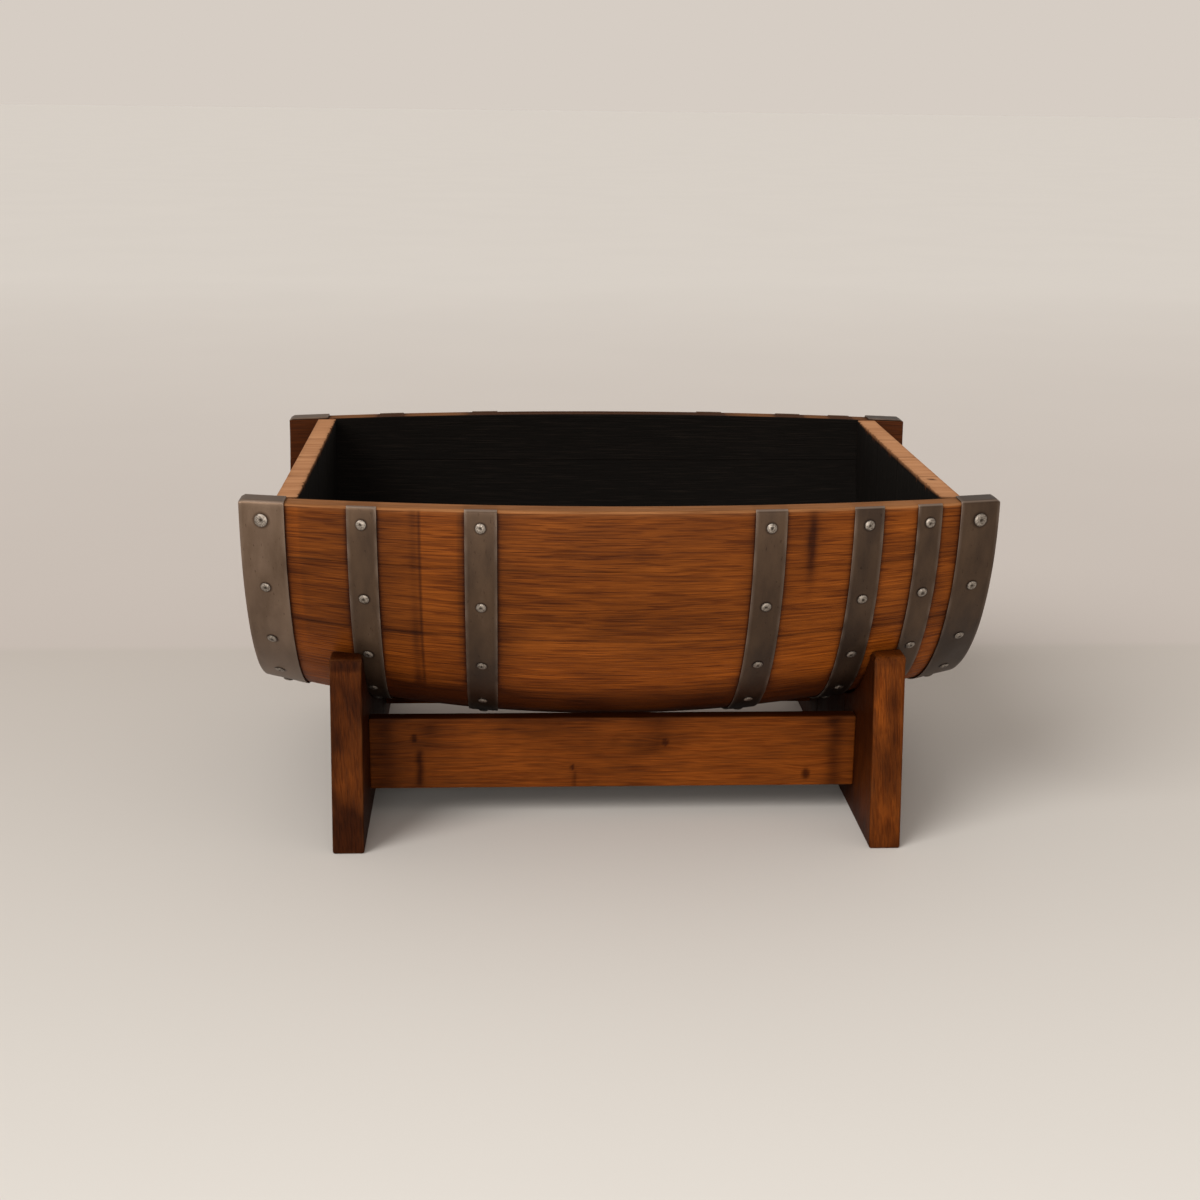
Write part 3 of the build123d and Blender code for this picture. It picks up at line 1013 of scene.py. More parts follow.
    def weather(self, index: int, x: np.ndarray, angle: np.ndarray) -> np.ndarray:
        """Dirt on the outside: streaks and a rust line at the ghost, smudges at the right,
        clouds, and the dirtier left.

        Args:
            index: 0 for the stave at the front rim.
            x: place along the barrel.
            angle: place round it, from the front rim, in radians.

        Returns:
            Grime at each point.
        """
        low = self.ghost[0]
        streak = bell(x, low - 8 * MM, 5 * MM) * (0.55 + 0.45 * waver(angle / 0.3, 0 * x, 5))
        line = bell(x, low - 0.5 * MM, 1.3 * MM)
        dirt = 0.6 * np.maximum(streak, 0) + 0.5 * line
        drifts = (3 * MM * waver(angle / 0.11, 0 * x, 17), 0)
        for (at, half, down, half_down, strength), drift in zip(self.smudges, drifts):
            dirt += 0.75 * strength * bell(x, at + drift, half) * bell(angle, down, half_down)
        dirt += self.clouds * swell(x / 0.16, angle / 0.35, 300 + index)
        return dirt + self.left_grime * (1 - smooth(x, -0.17, -0.10))

    def fade(self, index: int, x: np.ndarray, t: np.ndarray, angle: np.ndarray, inside: np.ndarray,
             outside: np.ndarray) -> np.ndarray:
        """How far the stain has faded at the ghosts, the right end and inside beyond the heads,
        and how much lighter the wood is on the lower half.

        Args:
            index: 0 for the stave at the front rim.
            x: place along the barrel.
            t: place across the stave.
            angle: place round the barrel, from the front rim, in radians.
            inside: 1 on the inner face.
            outside: 1 on the outer face.

        Returns:
            0 for fresh stain to 1 for the most faded.
        """
        inner_x = float(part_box("right_head_board_2")[0][0])
        fade = self.right_fade * smooth(x, 0.05, 0.24)
        for (low, high), soft_low, soft_high in (
            (self.ghost, 2 * MM, 2 * MM), (self.chime_ghost, 3 * MM, 4 * MM),
        ):
            fade += self.ghost_fade * smooth(x, low, low + soft_low) * (1 - smooth(x, high - soft_high, high))
        fade += self.lighter_below * smooth(angle, math.radians(26), math.radians(44)) * outside
        fade += 0.7 * inside * smooth(np.abs(x), inner_x + 10 * MM, inner_x + 30 * MM)
        return np.clip(fade + self.tones[index] * (1 - 0.5 * np.abs(waver(x / 0.5, t / 0.1, index))), 0, 1)


@dataclass
class Heads:
    """The two boarded heads, let in between the stave ends.

    Attributes:
        shape: the barrel.
        edge_radius: easing of a board's edges.
        step: spacing of the mesh.
        fit: space between a board and the staves.
        torn: depth of the torn fibres along the inner edge of the sawn top.
        chip: depth of the chips in the sawn top.
        knot: along, across, radius and strength of the dark knot in the sawn top of the
            right head's first board.
    """

    shape: BarrelShape
    edge_radius: float = 1.4 * MM
    step: float = 5.0 * MM
    fit: float = 0.06 * MM
    torn: float = 4.2 * MM
    chip: float = 0.4 * MM
    knot: tuple[float, float, float, float] = (0.419, -0.168, 6 * MM, 0.9)

    def build(self, side: Side, finish: bpy.types.Material) -> None:
        """Makes the four boards of one head."""
        for number in range(1, 5):
            self.board(side, "%s_head_board_%d" % (side.name.lower(), number), number, finish)

    def board(self, side: Side, node: str, number: int, finish: bpy.types.Material) -> None:
        """Makes one upright board: a block whose lower end is cut to the barrel's inside.

        At a distance y from the middle the board is sqrt(r^2 - y^2) tall, with r the inside
        radius of the staves at that thickness of the head.

        Args:
            side: the barrel's end.
            node: the node that it stands for.
            number: 1 for the board at the front.
            finish: its material.
        """
        shape = self.shape
        low, high = (np.array(c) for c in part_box(node))
        thickness = high[0] - low[0]
        inside = -shape.stave_thickness - self.fit
        reach = float(np.min(shape.radius(np.array([low[0], high[0]]), inside))) - self.fit
        y0 = max(low[1], -reach)
        size = np.array([shape.rim - low[2], min(high[1], reach) - y0, thickness])
        points, quads, edge = block(size, self.edge_radius, (self.step,) * 3, self.edge_radius)
        s, t, w = points.T
        y = y0 + t
        x = low[0] + w
        near_inner = 1 - smooth((high[0] - x) if side is Side.LEFT else (x - low[0]), 0, 7 * MM)
        torn = self.torn * np.clip(waver(y / 0.021, y / 0.008, 900 + number) - 0.05, 0, 1)
        x = x + side.value * torn * near_inner * (1 - smooth(s, 1 * MM, 14 * MM))
        height = np.sqrt(np.maximum(shape.radius(x, inside) ** 2 - y ** 2, (5 * MM) ** 2))
        chips = self.chip * waver(y / 0.03, x / 0.02, 17 * number) * (1 - smooth(s, 0, 4 * MM))
        z = shape.rim - np.maximum(s + np.minimum(chips, 0), 0) * height / size[0]
        depth_in = (high[0] - x) if side is Side.LEFT else (x - low[0])
        sawn = 1 - smooth(s, 1.8 * MM, 3.6 * MM)
        joint = np.minimum(t, size[1] - t)
        face_grime = 0.6 * fading(joint, 1.2 * MM) + 0.35 * smooth(s, 0.05, 0.3)
        top_grime = 0.85 * fading(joint, 1.1 * MM) + 0.6 * fading(np.minimum(w, thickness - w), 0.9 * MM)
        grime = np.where(sawn > 0.5, top_grime, face_grime)
        if side is Side.RIGHT and number == 1:
            knot_x, knot_y, knot_radius, strength = self.knot
            off = np.hypot(x - knot_x, (y - knot_y) * 0.8)
            grime += sawn * strength * (1 - smooth(off, knot_radius / 2, knot_radius))
        wear = 0.5 * fading(edge, 1.5 * MM) * swell(y / 0.04, z / 0.06, number)
        seed = 5.1 * number + side.value
        upright = np.stack([z + seed, y + 2 * seed, x + seed], axis=-1)
        fields = {
            "grain": np.where(sawn[:, None] > 0.5, upright[:, ::-1], upright),
            "char": (1 - smooth(depth_in, 0.6 * MM, 2.0 * MM)) * smooth(s, 1.5 * MM, 4 * MM),
            "sawn": sawn, "grime": np.clip(grime, 0, 0.9), "fade": np.full(len(s), 0.2),
            "wear": wear * (1 - sawn),
        }
        name = node.replace("head_board", "head_plank")
        piece = make_mesh(name, np.stack([x, y, z], axis=-1), quads, fields)
        settle(piece, Body.TUB, node, finish)


@dataclass
class Hoops:
    """The seven steel hoops: flat strip bent round the staves, its ends turned over the rim.

    Attributes:
        shape: the barrel.
        bend_radius: outer radius of the turned-over ends.
        lip: how far a plain end stands over the rim.
        plain_tab: how far a plain end lies over the rim.
        edge_radius: easing of the strip's edges.
        step: spacing of the mesh.
        bend_steps: points along a chime hoop's end and along a plain one.
        droop: radius and depth to which a chime hoop's tab follows the rounded stave ends.
        dent: depth of the hammer's dents.
        nail_radius: radius of a nail's head.
        rim_nail_radius: radius of the heads at a chime hoop's ends.
    """

    shape: BarrelShape
    bend_radius: float = 5.0 * MM
    lip: float = 0.9 * MM
    plain_tab: float = 0.4 * MM
    edge_radius: float = 0.7 * MM
    step: float = 4.0 * MM
    bend_steps: tuple[int, int] = (16, 7)
    droop: tuple[float, float] = (5.0 * MM, 2.4 * MM)
    dent: float = 0.35 * MM
    nail_radius: float = 6.5 * MM
    rim_nail_radius: float = 8.5 * MM

    def build(self, finish: bpy.types.Material) -> None:
        """Makes every hoop."""
        for number, name in enumerate(HOOPS):
            self.hoop(name, number, finish)

    def hoop(self, name: str, number: int, finish: bpy.types.Material) -> None:
        """Makes one hoop: a block whose length follows the bent path of the strip.

        From each end the path is a straight tab over the rim, a quarter turn of the bend
        radius, then the barrel's own arc down to the bottom, where both halves meet.

        Args:
            name: the hoop's node.
            number: 0 for the hoop at the left.
            finish: its material.
        """
        shape = self.shape
        low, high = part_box(name)
        middle_x = (low[0] + high[0]) / 2
        chime = name.endswith("chime_hoop")
        outside = shape.hoop_outside
        rise = outside if chime else self.lip
        bend = self.bend_radius
        radius_mid = float(shape.radius(middle_x, outside))
        tab = shape.stave_thickness + outside - bend if chime else self.plain_tab
        turn = bend * math.pi / 2
        bent = tab + turn
        first = math.asin((bend - rise) / radius_mid)
        quarter = math.pi / 2 - first
        arc = radius_mid * quarter
        total = 2 * (bent + arc)
        size = np.array([total, high[0] - low[0], shape.hoop_thickness])
        end = np.linspace(0, bent, self.bend_steps[0 if chime else 1])
        middle = np.linspace(bent, total - bent, round(2 * arc / self.step) + 1)
        points, quads, edge = block(size, self.edge_radius, (self.step,) * 3, self.edge_radius,
                                    along=np.concatenate([end, middle[1:-1], total - end[::-1]]))
        s, t, w = points.T
        x = low[0] + t
        r = shape.radius(x, outside)
        d = np.minimum(s, total - s)
        turned = (d - tab) / bend
        angle = first + (d - bent) / arc * quarter
        dent = self.dent * waver(s / 0.09, t / 0.07, 70 + number) * smooth(d, bent, bent + 30 * MM)
        top = shape.rim + rise
        y = np.select(
            [d < tab, d < bent],
            [-(r - bend) + (tab - d), -(r - bend) - (bend - w) * np.sin(turned)],
            -(r - w + dent) * np.cos(angle),
        )
        z = np.select(
            [d < tab, d < bent],
            [top - w, top - bend + (bend - w) * np.cos(turned)],
            shape.rim - (r - w + dent) * np.sin(angle),
        )
        if chime:
            droop_radius, deepest = self.droop
            slope = np.clip(droop_radius - (shape.half_length - np.abs(x)), 0, droop_radius)
            droop = droop_radius - np.sqrt(droop_radius ** 2 - slope ** 2)
            z = z - np.minimum(droop, deepest) * (1 - smooth(d, tab, bent))
        y = np.where(s > total / 2, -y, y)
        outer = w < size[2] / 2
        rubbed = 0.55 + 0.45 * waver(s / 0.05, t / 0.03, 30 + number)
        # Paler rubbed edges that carry painted edge highlights, then a painted highlight in a line across the
        # bend at each end.
        wear = 0.75 * fading(edge, 0.7 * MM) * rubbed * outer
        wear += 0.55 * (1 - smooth(np.abs(d - tab - 0.35 * turn), 0.8 * MM, 2.6 * MM)) * outer
        grime = 0.55 * fading(np.minimum(t, size[1] - t), 2.5 * MM) * (1 - rubbed)
        grime += 0.35 * swell(s / 0.16, t / 0.09, 10 + number) + 0.25 * (d < tab)
        # Painted shade on the belly between the end frames, as on the staves.
        grime += painted_belly_shade(x, angle) * (d > bent)
        fields = {
            "grain": np.stack([s / 3, t, w], axis=-1) + number,
            "grime": np.clip(grime, 0, 0.9), "wear": np.clip(wear, 0, 0.85),
            "tone": HOOPS[name] + 0.05 * waver(s / 0.3, t / 0.2, 50 + number),
            "nail": self.nearest_nail(middle_x, chime, s, t - size[1] / 2,
                                      lambda a: bent + (a - first) / quarter * arc),
        }
        piece = make_mesh(name.replace("hoop", "hoop_strip"), np.stack([x, y, z], axis=-1), quads, fields)
        settle(piece, Body.TUB, name, finish)

    def nearest_nail(self, x: float, chime: bool, s: np.ndarray, across: np.ndarray,
                     along: Callable[[float], float]) -> np.ndarray:
        """Offset of each point from its nearest nail, in nail-head radii.

        Args:
            x: the hoop's middle.
            chime: whether the hoop's first and last nails are the larger ones.
            s: place along the strip.
            across: place across the strip, from its middle.
            along: turns an angle below the rim into a place along the strip.

        Returns:
            Three columns: along, across and nothing.
        """
        angles = self.shape.nail_angles(x)
        places = np.array([along(math.radians(a)) for a in angles])
        radii = np.full(len(angles), self.nail_radius)
        if chime:
            radii[[0, -1]] = self.rim_nail_radius
        index = np.abs(s[:, None] - places[None, :]).argmin(axis=1)
        radius = radii[index]
        return np.stack([np.abs(s - places[index]) / radius, across / radius, 0 * s], axis=-1)


@dataclass
class Nails:
    """The hoops' nails: low domes with a punched dimple, one in each stave.

    Attributes:
        shape: the barrel.
        head_radius: radius of a nail's head.
        rim_head_radius: radius of the larger heads at a chime hoop's ends.
        upright: height of the head's upright rim.
        dome: height of the dome over that.
        dimple: depth of the dimple.
        dimple_width: its half width, in head radii.
        dimple_drift: how far it may lie off the middle, in head radii.
        seat: space between a head and its hoop.
        around: points round a head.
    """

    shape: BarrelShape
    head_radius: float = 6.5 * MM
    rim_head_radius: float = 8.5 * MM
    upright: float = 0.8 * MM
    dome: float = 2.1 * MM
    dimple: float = 1.3 * MM
    dimple_width: float = 0.34
    dimple_drift: float = 0.12
    seat: float = 0.15 * MM
    around: int = 20

    def build(self, finish: bpy.types.Material) -> None:
        """Makes the nails of every hoop, as one piece for each hoop.

        Args:
            finish: their material.
        """
        for number, hoop in enumerate(HOOPS):
            low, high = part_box(hoop)
            x = float(low[0] + high[0]) / 2
            angles = self.shape.nail_angles(x)
            draw = np.random.default_rng(200 + number)
            heads = []
            for i, angle in enumerate(angles):
                large = i in (0, len(angles) - 1) and hoop.endswith("chime_hoop")
                points, quads, grime = self.head(self.rim_head_radius if large else self.head_radius, draw)
                heads.append((self.seated(points, x, math.radians(angle), draw), quads, grime))
            piece = make_mesh(hoop + "_nail_heads", *gathered(heads))
            settle(piece, Body.TUB, hoop + "_nails", finish)

    def head(self, radius: float, draw: np.random.Generator) -> Head:
        """One nail head about Z, base at 0: a profile turned round its axis.

        The profile runs from the base's middle, out along the base, up the rim and over the
        dome, whose height is dome * (1 - (r / radius)^2) less a bell-shaped dimple.

        Args:
            radius: the head's radius.
            draw: where the dimple's offset comes from.

        Returns:
            Points, quads and the grime field: dirt in the dimple, painted shade round the edge.
        """
        share = np.array([0.99, 0.93, 0.84, 0.7, 0.55, 0.42, 0.32, 0.24, 0.16, 0.08, 0.003])
        base = np.array([0.003, 0.97, 1.0, 1.0])
        up = np.concatenate([[0, 0, 0.1 * MM, self.upright], self.upright + self.dome * (1 - share ** 2)])
        r, x, y, z, quads = turned_head(np.concatenate([base, share]) * radius, up, self.around)
        off_x, off_y = draw.uniform(-self.dimple_drift, self.dimple_drift, 2) * radius
        half = self.dimple_width * radius
        hollow = bell(x, off_x, half) * bell(y, off_y, half) * (np.arange(len(up)) >= len(base))[:, None]
        # Dirt in the dimple, and painted shade round the head's edge.
        grime = np.clip(1.1 * hollow + 0.6 * smooth(r / radius, 0.86, 1.0), 0, 0.95)
        points = np.stack([x, y, z - self.dimple * hollow], axis=-1)
        return points.reshape(-1, 3), quads, grime.ravel()

    def seated(self, points: np.ndarray, x: float, angle: float, draw: np.random.Generator) -> np.ndarray:
        """Turns a head's Z to the barrel's outward direction and sets it on its hoop.

        Args:
            points: the head's points.
            x: the hoop's middle.
            angle: place round the barrel, from the front rim, in radians.
            draw: where the head's turn comes from.

        Returns:
            The points, in place.
        """
        shape = self.shape
        tilt = math.asin(x / shape.arc_radius)
        radial = np.array([0, -math.cos(angle), -math.sin(angle)])
        out = np.array([math.sin(tilt), 0, 0]) + radial * math.cos(tilt)
        lean = np.cross(out, [1.0, 0, 0])
        lean /= np.linalg.norm(lean)
        over = np.cross(lean, out)
        spin = draw.uniform(0, 2 * np.pi)
        u = over * math.cos(spin) + lean * math.sin(spin)
        v = np.cross(out, u)
        base = shape.place(np.array([x]), np.array([angle]), np.array([0.0]))[0]
        base = base + out * (shape.hoop_outside + self.seat)
        return base + points[:, :1] * u + points[:, 1:2] * v + points[:, 2:] * out


# ---------------------------------------------------------------------------------------
# The cradle
# ---------------------------------------------------------------------------------------
@dataclass(frozen=True)
class FrameWearAndShade:
    """How one end frame has worn, and the painted shade on its horns.

    Attributes:
        inner_radius: rounding of the horns' upper edges beside the barrel.
        grime: dirt all over.
        horn_shade: painted shade on top of the horns, under the barrel.
        fade: how far the stain has faded.
        rubs: pale rubbed ovals.
        marks: dark ovals.
    """

    inner_radius: float
    grime: float
    horn_shade: float
    fade: float
    rubs: Table
    marks: Table


# An oval's numbers: across, height, half width, half height and strength.
FRAME_WEAR_AND_SHADE = {
    Side.LEFT: FrameWearAndShade(
        inner_radius=4 * MM, grime=0.28, horn_shade=0.85, fade=0.0,
        rubs=((-0.010, 0.12, 0.005, 0.07, 0.12),),
        marks=((0.0, 0.038, 0.018, 0.024, 1.0), (-0.004, 0.20, 0.03, 0.05, 0.4),
               (0.018, 0.12, 0.006, 0.12, 0.4)),
    ),
    Side.RIGHT: FrameWearAndShade(
        inner_radius=9 * MM, grime=0.03, horn_shade=0.3, fade=0.16,
        rubs=((-0.010, 0.205, 0.007, 0.035, 0.7), (0.0, 0.03, 0.02, 0.03, 0.22),
              (0.016, 0.15, 0.004, 0.02, 0.35)),
        marks=((0.008, 0.195, 0.009, 0.02, 0.6), (0.002, 0.11, 0.016, 0.04, 0.6),
               (0.012, 0.15, 0.006, 0.02, 0.4), (0.002, 0.03, 0.008, 0.012, 0.35),
               (-0.018, 0.13, 0.005, 0.12, 0.3)),
    ),
}


@dataclass
class EndFrames:
    """The saddle-cut end frames, three upright boards each.

    Attributes:
        shape: the barrel, which gives the saddle.
        clearance: space between the hoops and the saddle.
        spread: how far the foot stands out past the horn.
        edge_radius: easing of the outer boards' edges.
        middle_radius: easing of the middle board's edges.
        horn_radius: rounding of the horns' outer corners.
        step: spacing of the mesh.
    """

    shape: BarrelShape
    clearance: float = 0.3 * MM
    spread: float = 30 * MM
    edge_radius: float = 3.2 * MM
    middle_radius: float = 1.2 * MM
    horn_radius: float = 9 * MM
    step: float = 4.0 * MM

    def build(self, side: Side, finish: bpy.types.Material) -> None:
        """Makes the three boards of one end frame."""
        for number, part in enumerate(("front", "middle", "back")):
            self.board(side, part, number, finish)

    def saddle(self, x: np.ndarray, y: np.ndarray) -> np.ndarray:
        """Height of the saddle at a point: the barrel's underside over it, less the clearance."""
        r = self.shape.radius(x, self.shape.hoop_outside + self.clearance)
        return self.shape.rim - np.sqrt(np.maximum(r ** 2 - y ** 2, 0))

    def board(self, side: Side, part: str, number: int, finish: bpy.types.Material) -> None:
        """Makes one board: a block of upright columns, each as tall as the saddle or horn.

        A column at t across runs from the slanted outer edge to the joint, and its top is
        the lower of the horn's land and the saddle.  Its foot's place and its height hang on
        each other, so they are worked out in a few rounds.

        Args:
            side: the barrel's end.
            part: front, middle or back.
            number: 0 for the front board.
            finish: its material.
        """
        frame_name = side.name.lower() + "_frame_%s_board"
        low, high = (np.array(c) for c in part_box(frame_name % part))
        front_low, front_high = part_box(frame_name % "front")
        top = float(front_high[2])
        foot = -float(front_low[1])
        joint = abs(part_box(frame_name % "middle")[0][1])
        shoulder = foot - self.spread
        middle = part == "middle"
        size = np.array([high[2], high[1] - low[1], high[0] - low[0]])
        points, quads, edge = block(size, self.edge_radius, (self.step,) * 3,
                                    self.middle_radius if middle else self.edge_radius)
        s, t, w = points.T
        x = low[0] + w
        share = s / size[0]
        if middle:
            y = low[1] + t
            height = self.saddle(x, y)
            z = share * height
        else:
            sign = -1 if part == "front" else 1
            near = t / size[1] if part == "front" else 1 - t / size[1]
            y_top = sign * (shoulder + (joint - shoulder) * near)
            height = np.full(len(s), top)
            for _ in range(4):
                outer = foot - self.spread * share * height / top
                y = sign * (outer + (joint - outer) * near)
                height = np.minimum(top, self.saddle(x, y_top))
            z = share * height
            radius = self.horn_radius
            d_out = (shoulder + self.spread * (1 - z / top)) - np.abs(y)
            a, b = rounded_over(np.maximum(d_out, 0), np.maximum(top - z, 0), radius)
            y = y + sign * (d_out - a) * (d_out < radius)
            z = np.where(d_out < radius, np.minimum(z, top - b), z)
            radius = FRAME_WEAR_AND_SHADE[side].inner_radius
            d_in = (x - low[0]) if side is Side.RIGHT else (high[0] - x)
            a, b = rounded_over(np.maximum(d_in, 0), np.maximum(top - z, 0), radius)
            x = x + side.value * (a - d_in) * (d_in < radius)
            z = np.where(d_in < radius, np.minimum(z, top - b), z)
        placed = np.stack([x, y, z], axis=-1)
        seam = np.minimum(t, size[1] - t) if middle else np.abs(np.abs(y) - joint)
        across = (w - size[2] / 2) * side.value
        shaded = smooth(-across, size[2] / 2 - 1.5 * MM, size[2] / 2 - 0.2 * MM)
        seed = 2.3 * number + 7.7 * side.value
        rubbed = np.maximum(0.4 + waver(z / 0.06, x / 0.05, 31 + number), 0)
        wear = 0.42 * fading(edge, 1.8 * MM) * rubbed
        grime = self.dirt(side, number, placed, across, foot, top)
        # Dark joints, and painted shade on the faces towards the barrel's middle, stronger higher up.
        grime += 0.7 * fading(seam, 1.2 * MM) + shaded * (0.3 + 0.4 * smooth(z, 0.08, 0.2))
        grime += 0.2 * fading(height - z, 20 * MM) * (1 - smooth(edge, 0, 2 * MM))
        fade = FRAME_WEAR_AND_SHADE[side].fade + 0.2 * swell(z / 0.045, across / 0.05, 77 + number)
        fields = {
            "grain": np.stack([z + seed, y + 0.5 * x + 2 * seed, x + seed], axis=-1),
            "char": 0 * s, "sawn": 0 * s, "grime": np.clip(grime, 0, 0.92),
            "fade": np.clip(fade + self.ovals(FRAME_WEAR_AND_SHADE[side].rubs, across, z), 0, 1),
            "wear": np.clip(wear, 0, 0.6) * (1 - 0.8 * shaded),
        }
        name = (frame_name % part).replace("board", "plank")
        settle(make_mesh(name, placed, quads, fields), Body.CRADLE, frame_name % part, finish)

    def dirt(self, side: Side, number: int, placed: np.ndarray, across: np.ndarray, foot: float,
             top: float) -> np.ndarray:
        """Dirt on a board: rising from the floor, in clouds and in the dark ovals; painted shade on the
        horns.

        Args:
            side: the barrel's end.
            number: 0 for the front board.
            placed: the board's points.
            across: place through the board, from its middle towards the barrel's end.
            foot: distance of the foot's outer edge from the middle.
            top: height of the horns.

        Returns:
            Grime and painted shade at each point.
        """
        x, y, z = placed.T
        worn_and_shaded = FRAME_WEAR_AND_SHADE[side]
        dirt = 0.55 * fading(z, 35 * MM) + 0.25 * smooth(np.abs(y) / foot, 1.2, 0.3)
        dirt += 0.32 * swell(z / 0.11, (x + y) / 0.07, 700 + number + 3 * side.value)
        # Painted shade on top of the horns, where the barrel shades them.
        dirt += worn_and_shaded.horn_shade * smooth(z, top - 19 * MM, top - 10 * MM)
        return dirt + self.ovals(worn_and_shaded.marks, across, z) + worn_and_shaded.grime

    def ovals(self, marks: Table, across: np.ndarray, z: np.ndarray) -> np.ndarray:
        """Handling marks on the uprights, as the sum of soft ovals.

        Args:
            marks: the ovals.
            across: place through the board, from its middle towards the barrel's end.
            z: height.

        Returns:
            What to add at each point.
        """
        total = 0 * z
        for at, height, half, tall, strength in marks:
            total += strength * bell(across, at, half) * bell(z, height, tall)
        return total


@dataclass
class Rails:
    """The two long rails between the end frames.

    Attributes:
        edge_radius: easing of the edges.
        step: spacing of the mesh.
        cup: how far the faces waver.
        knots: along, up and radius of the knots in the front rail's face.
        stains: along, from low to high, half width and strength of the dark marks across
            the grain.
    """

    edge_radius: float = 2.2 * MM
    step: float = 3.0 * MM
    cup: float = 0.3 * MM
    knots: Table = (
        (-0.270, 0.113, 0.0045), (-0.056, 0.070, 0.003), (0.264, 0.058, 0.006), (0.07, 0.105, 0.004),
    )
    stains: Table = (
        (-0.2625, 0.047, 0.094, 0.005, 0.85), (-0.308, 0.04, 0.15, 0.018, 0.45),
        (0.302, 0.04, 0.15, 0.011, 0.55), (-0.053, 0.041, 0.062, 0.0025, 0.5),
        (-0.25, 0.10, 0.135, 0.02, 0.35), (0.057, 0.09, 0.141, 0.03, 0.45),
        (-0.10, 0.115, 0.141, 0.05, 0.3), (-0.04, 0.06, 0.141, 0.06, 0.18),
    )

    def build(self, finish: bpy.types.Material) -> None:
        """Makes both rails."""
        for number, node in enumerate(("front_rail", "back_rail")):
            self.rail(node, number, finish)

    def rail(self, node: str, number: int, finish: bpy.types.Material) -> None:
        """Makes one rail: a straight block with eased edges; the grain swings round its knots.

        Round a knot the across-grain coordinate is pushed away from the knot by its radius
        times exp(-(distance / 3 radii)^2).

        Args:
            node: the rail's node.
            number: 0 for the front rail.
            finish: its material.
        """
        low, high = (np.array(c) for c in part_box(node))
        size = (high - low)[[0, 2, 1]]
        points, quads, edge = block(size, self.edge_radius, (self.step,) * 3, self.edge_radius)
        s, t, w = points.T
        on_face = (w > 2 * MM) * (w < size[2] - 2 * MM)
        cup = self.cup * waver(s / 0.4, t / 0.1, 3 + number) * on_face
        placed = np.stack([low[0] + s, low[1] + w + cup, low[2] + t], axis=-1)
        x, y, z = placed.T
        grime = 0.24 * swell(x / 0.13, z / 0.06, 81 + number) + 0.16 * swell(x / 0.045, z / 0.05, 85 + number)
        grime *= 1 - 0.7 * smooth(x, 0.05, 0.2)
        # Darker towards the ends; darker towards the top edge and on the top face, which is painted shade
        # from the barrel above.
        grime += 0.4 * fading(np.minimum(s, size[0] - s), 30 * MM) + 0.35 * fading(size[1] - t, 8 * MM)
        grime += 0.45 * smooth(t, size[1] - 1.5 * MM, size[1] - 0.3 * MM)
        across = z.copy()
        for knot_x, knot_z, radius in self.knots:
            dx, dz = x - knot_x, z - knot_z
            across += np.sign(dz) * radius * bell(np.hypot(0.45 * dx, dz), 0, 3 * radius)
            grime += 0.85 * (1 - smooth(np.hypot(dx, 0.7 * dz), 0.5 * radius, 1.3 * radius))
        for at, from_z, to_z, half, strength in self.stains:
            tall = smooth(z, from_z - 6 * MM, from_z + 2 * MM) * (1 - smooth(z, to_z - 4 * MM, to_z + 8 * MM))
            bent = at + 0.3 * half * waver(z / 0.03, 0 * z, int(1000 * abs(at)))
            grime += strength * tall * bell(x, bent, half)
        rubbed = np.maximum(0.3 + waver(x / 0.08, z / 0.05, 91 + number), 0)
        seed = 4.4 * (number + 1)
        fields = {
            "grain": np.stack([x + seed, across + 2 * seed, y + seed], axis=-1),
            "char": 0 * s, "sawn": 0 * s, "grime": np.clip(grime, 0, 0.88),
            "fade": 0.28 + 0.12 * smooth(x, -0.1, 0.25),
            "wear": np.clip(0.3 * fading(edge, 1.5 * MM) * rubbed, 0, 0.5),
        }
        piece = make_mesh(node + "_plank", placed, quads, fields)
        settle(piece, Body.CRADLE, node, finish)


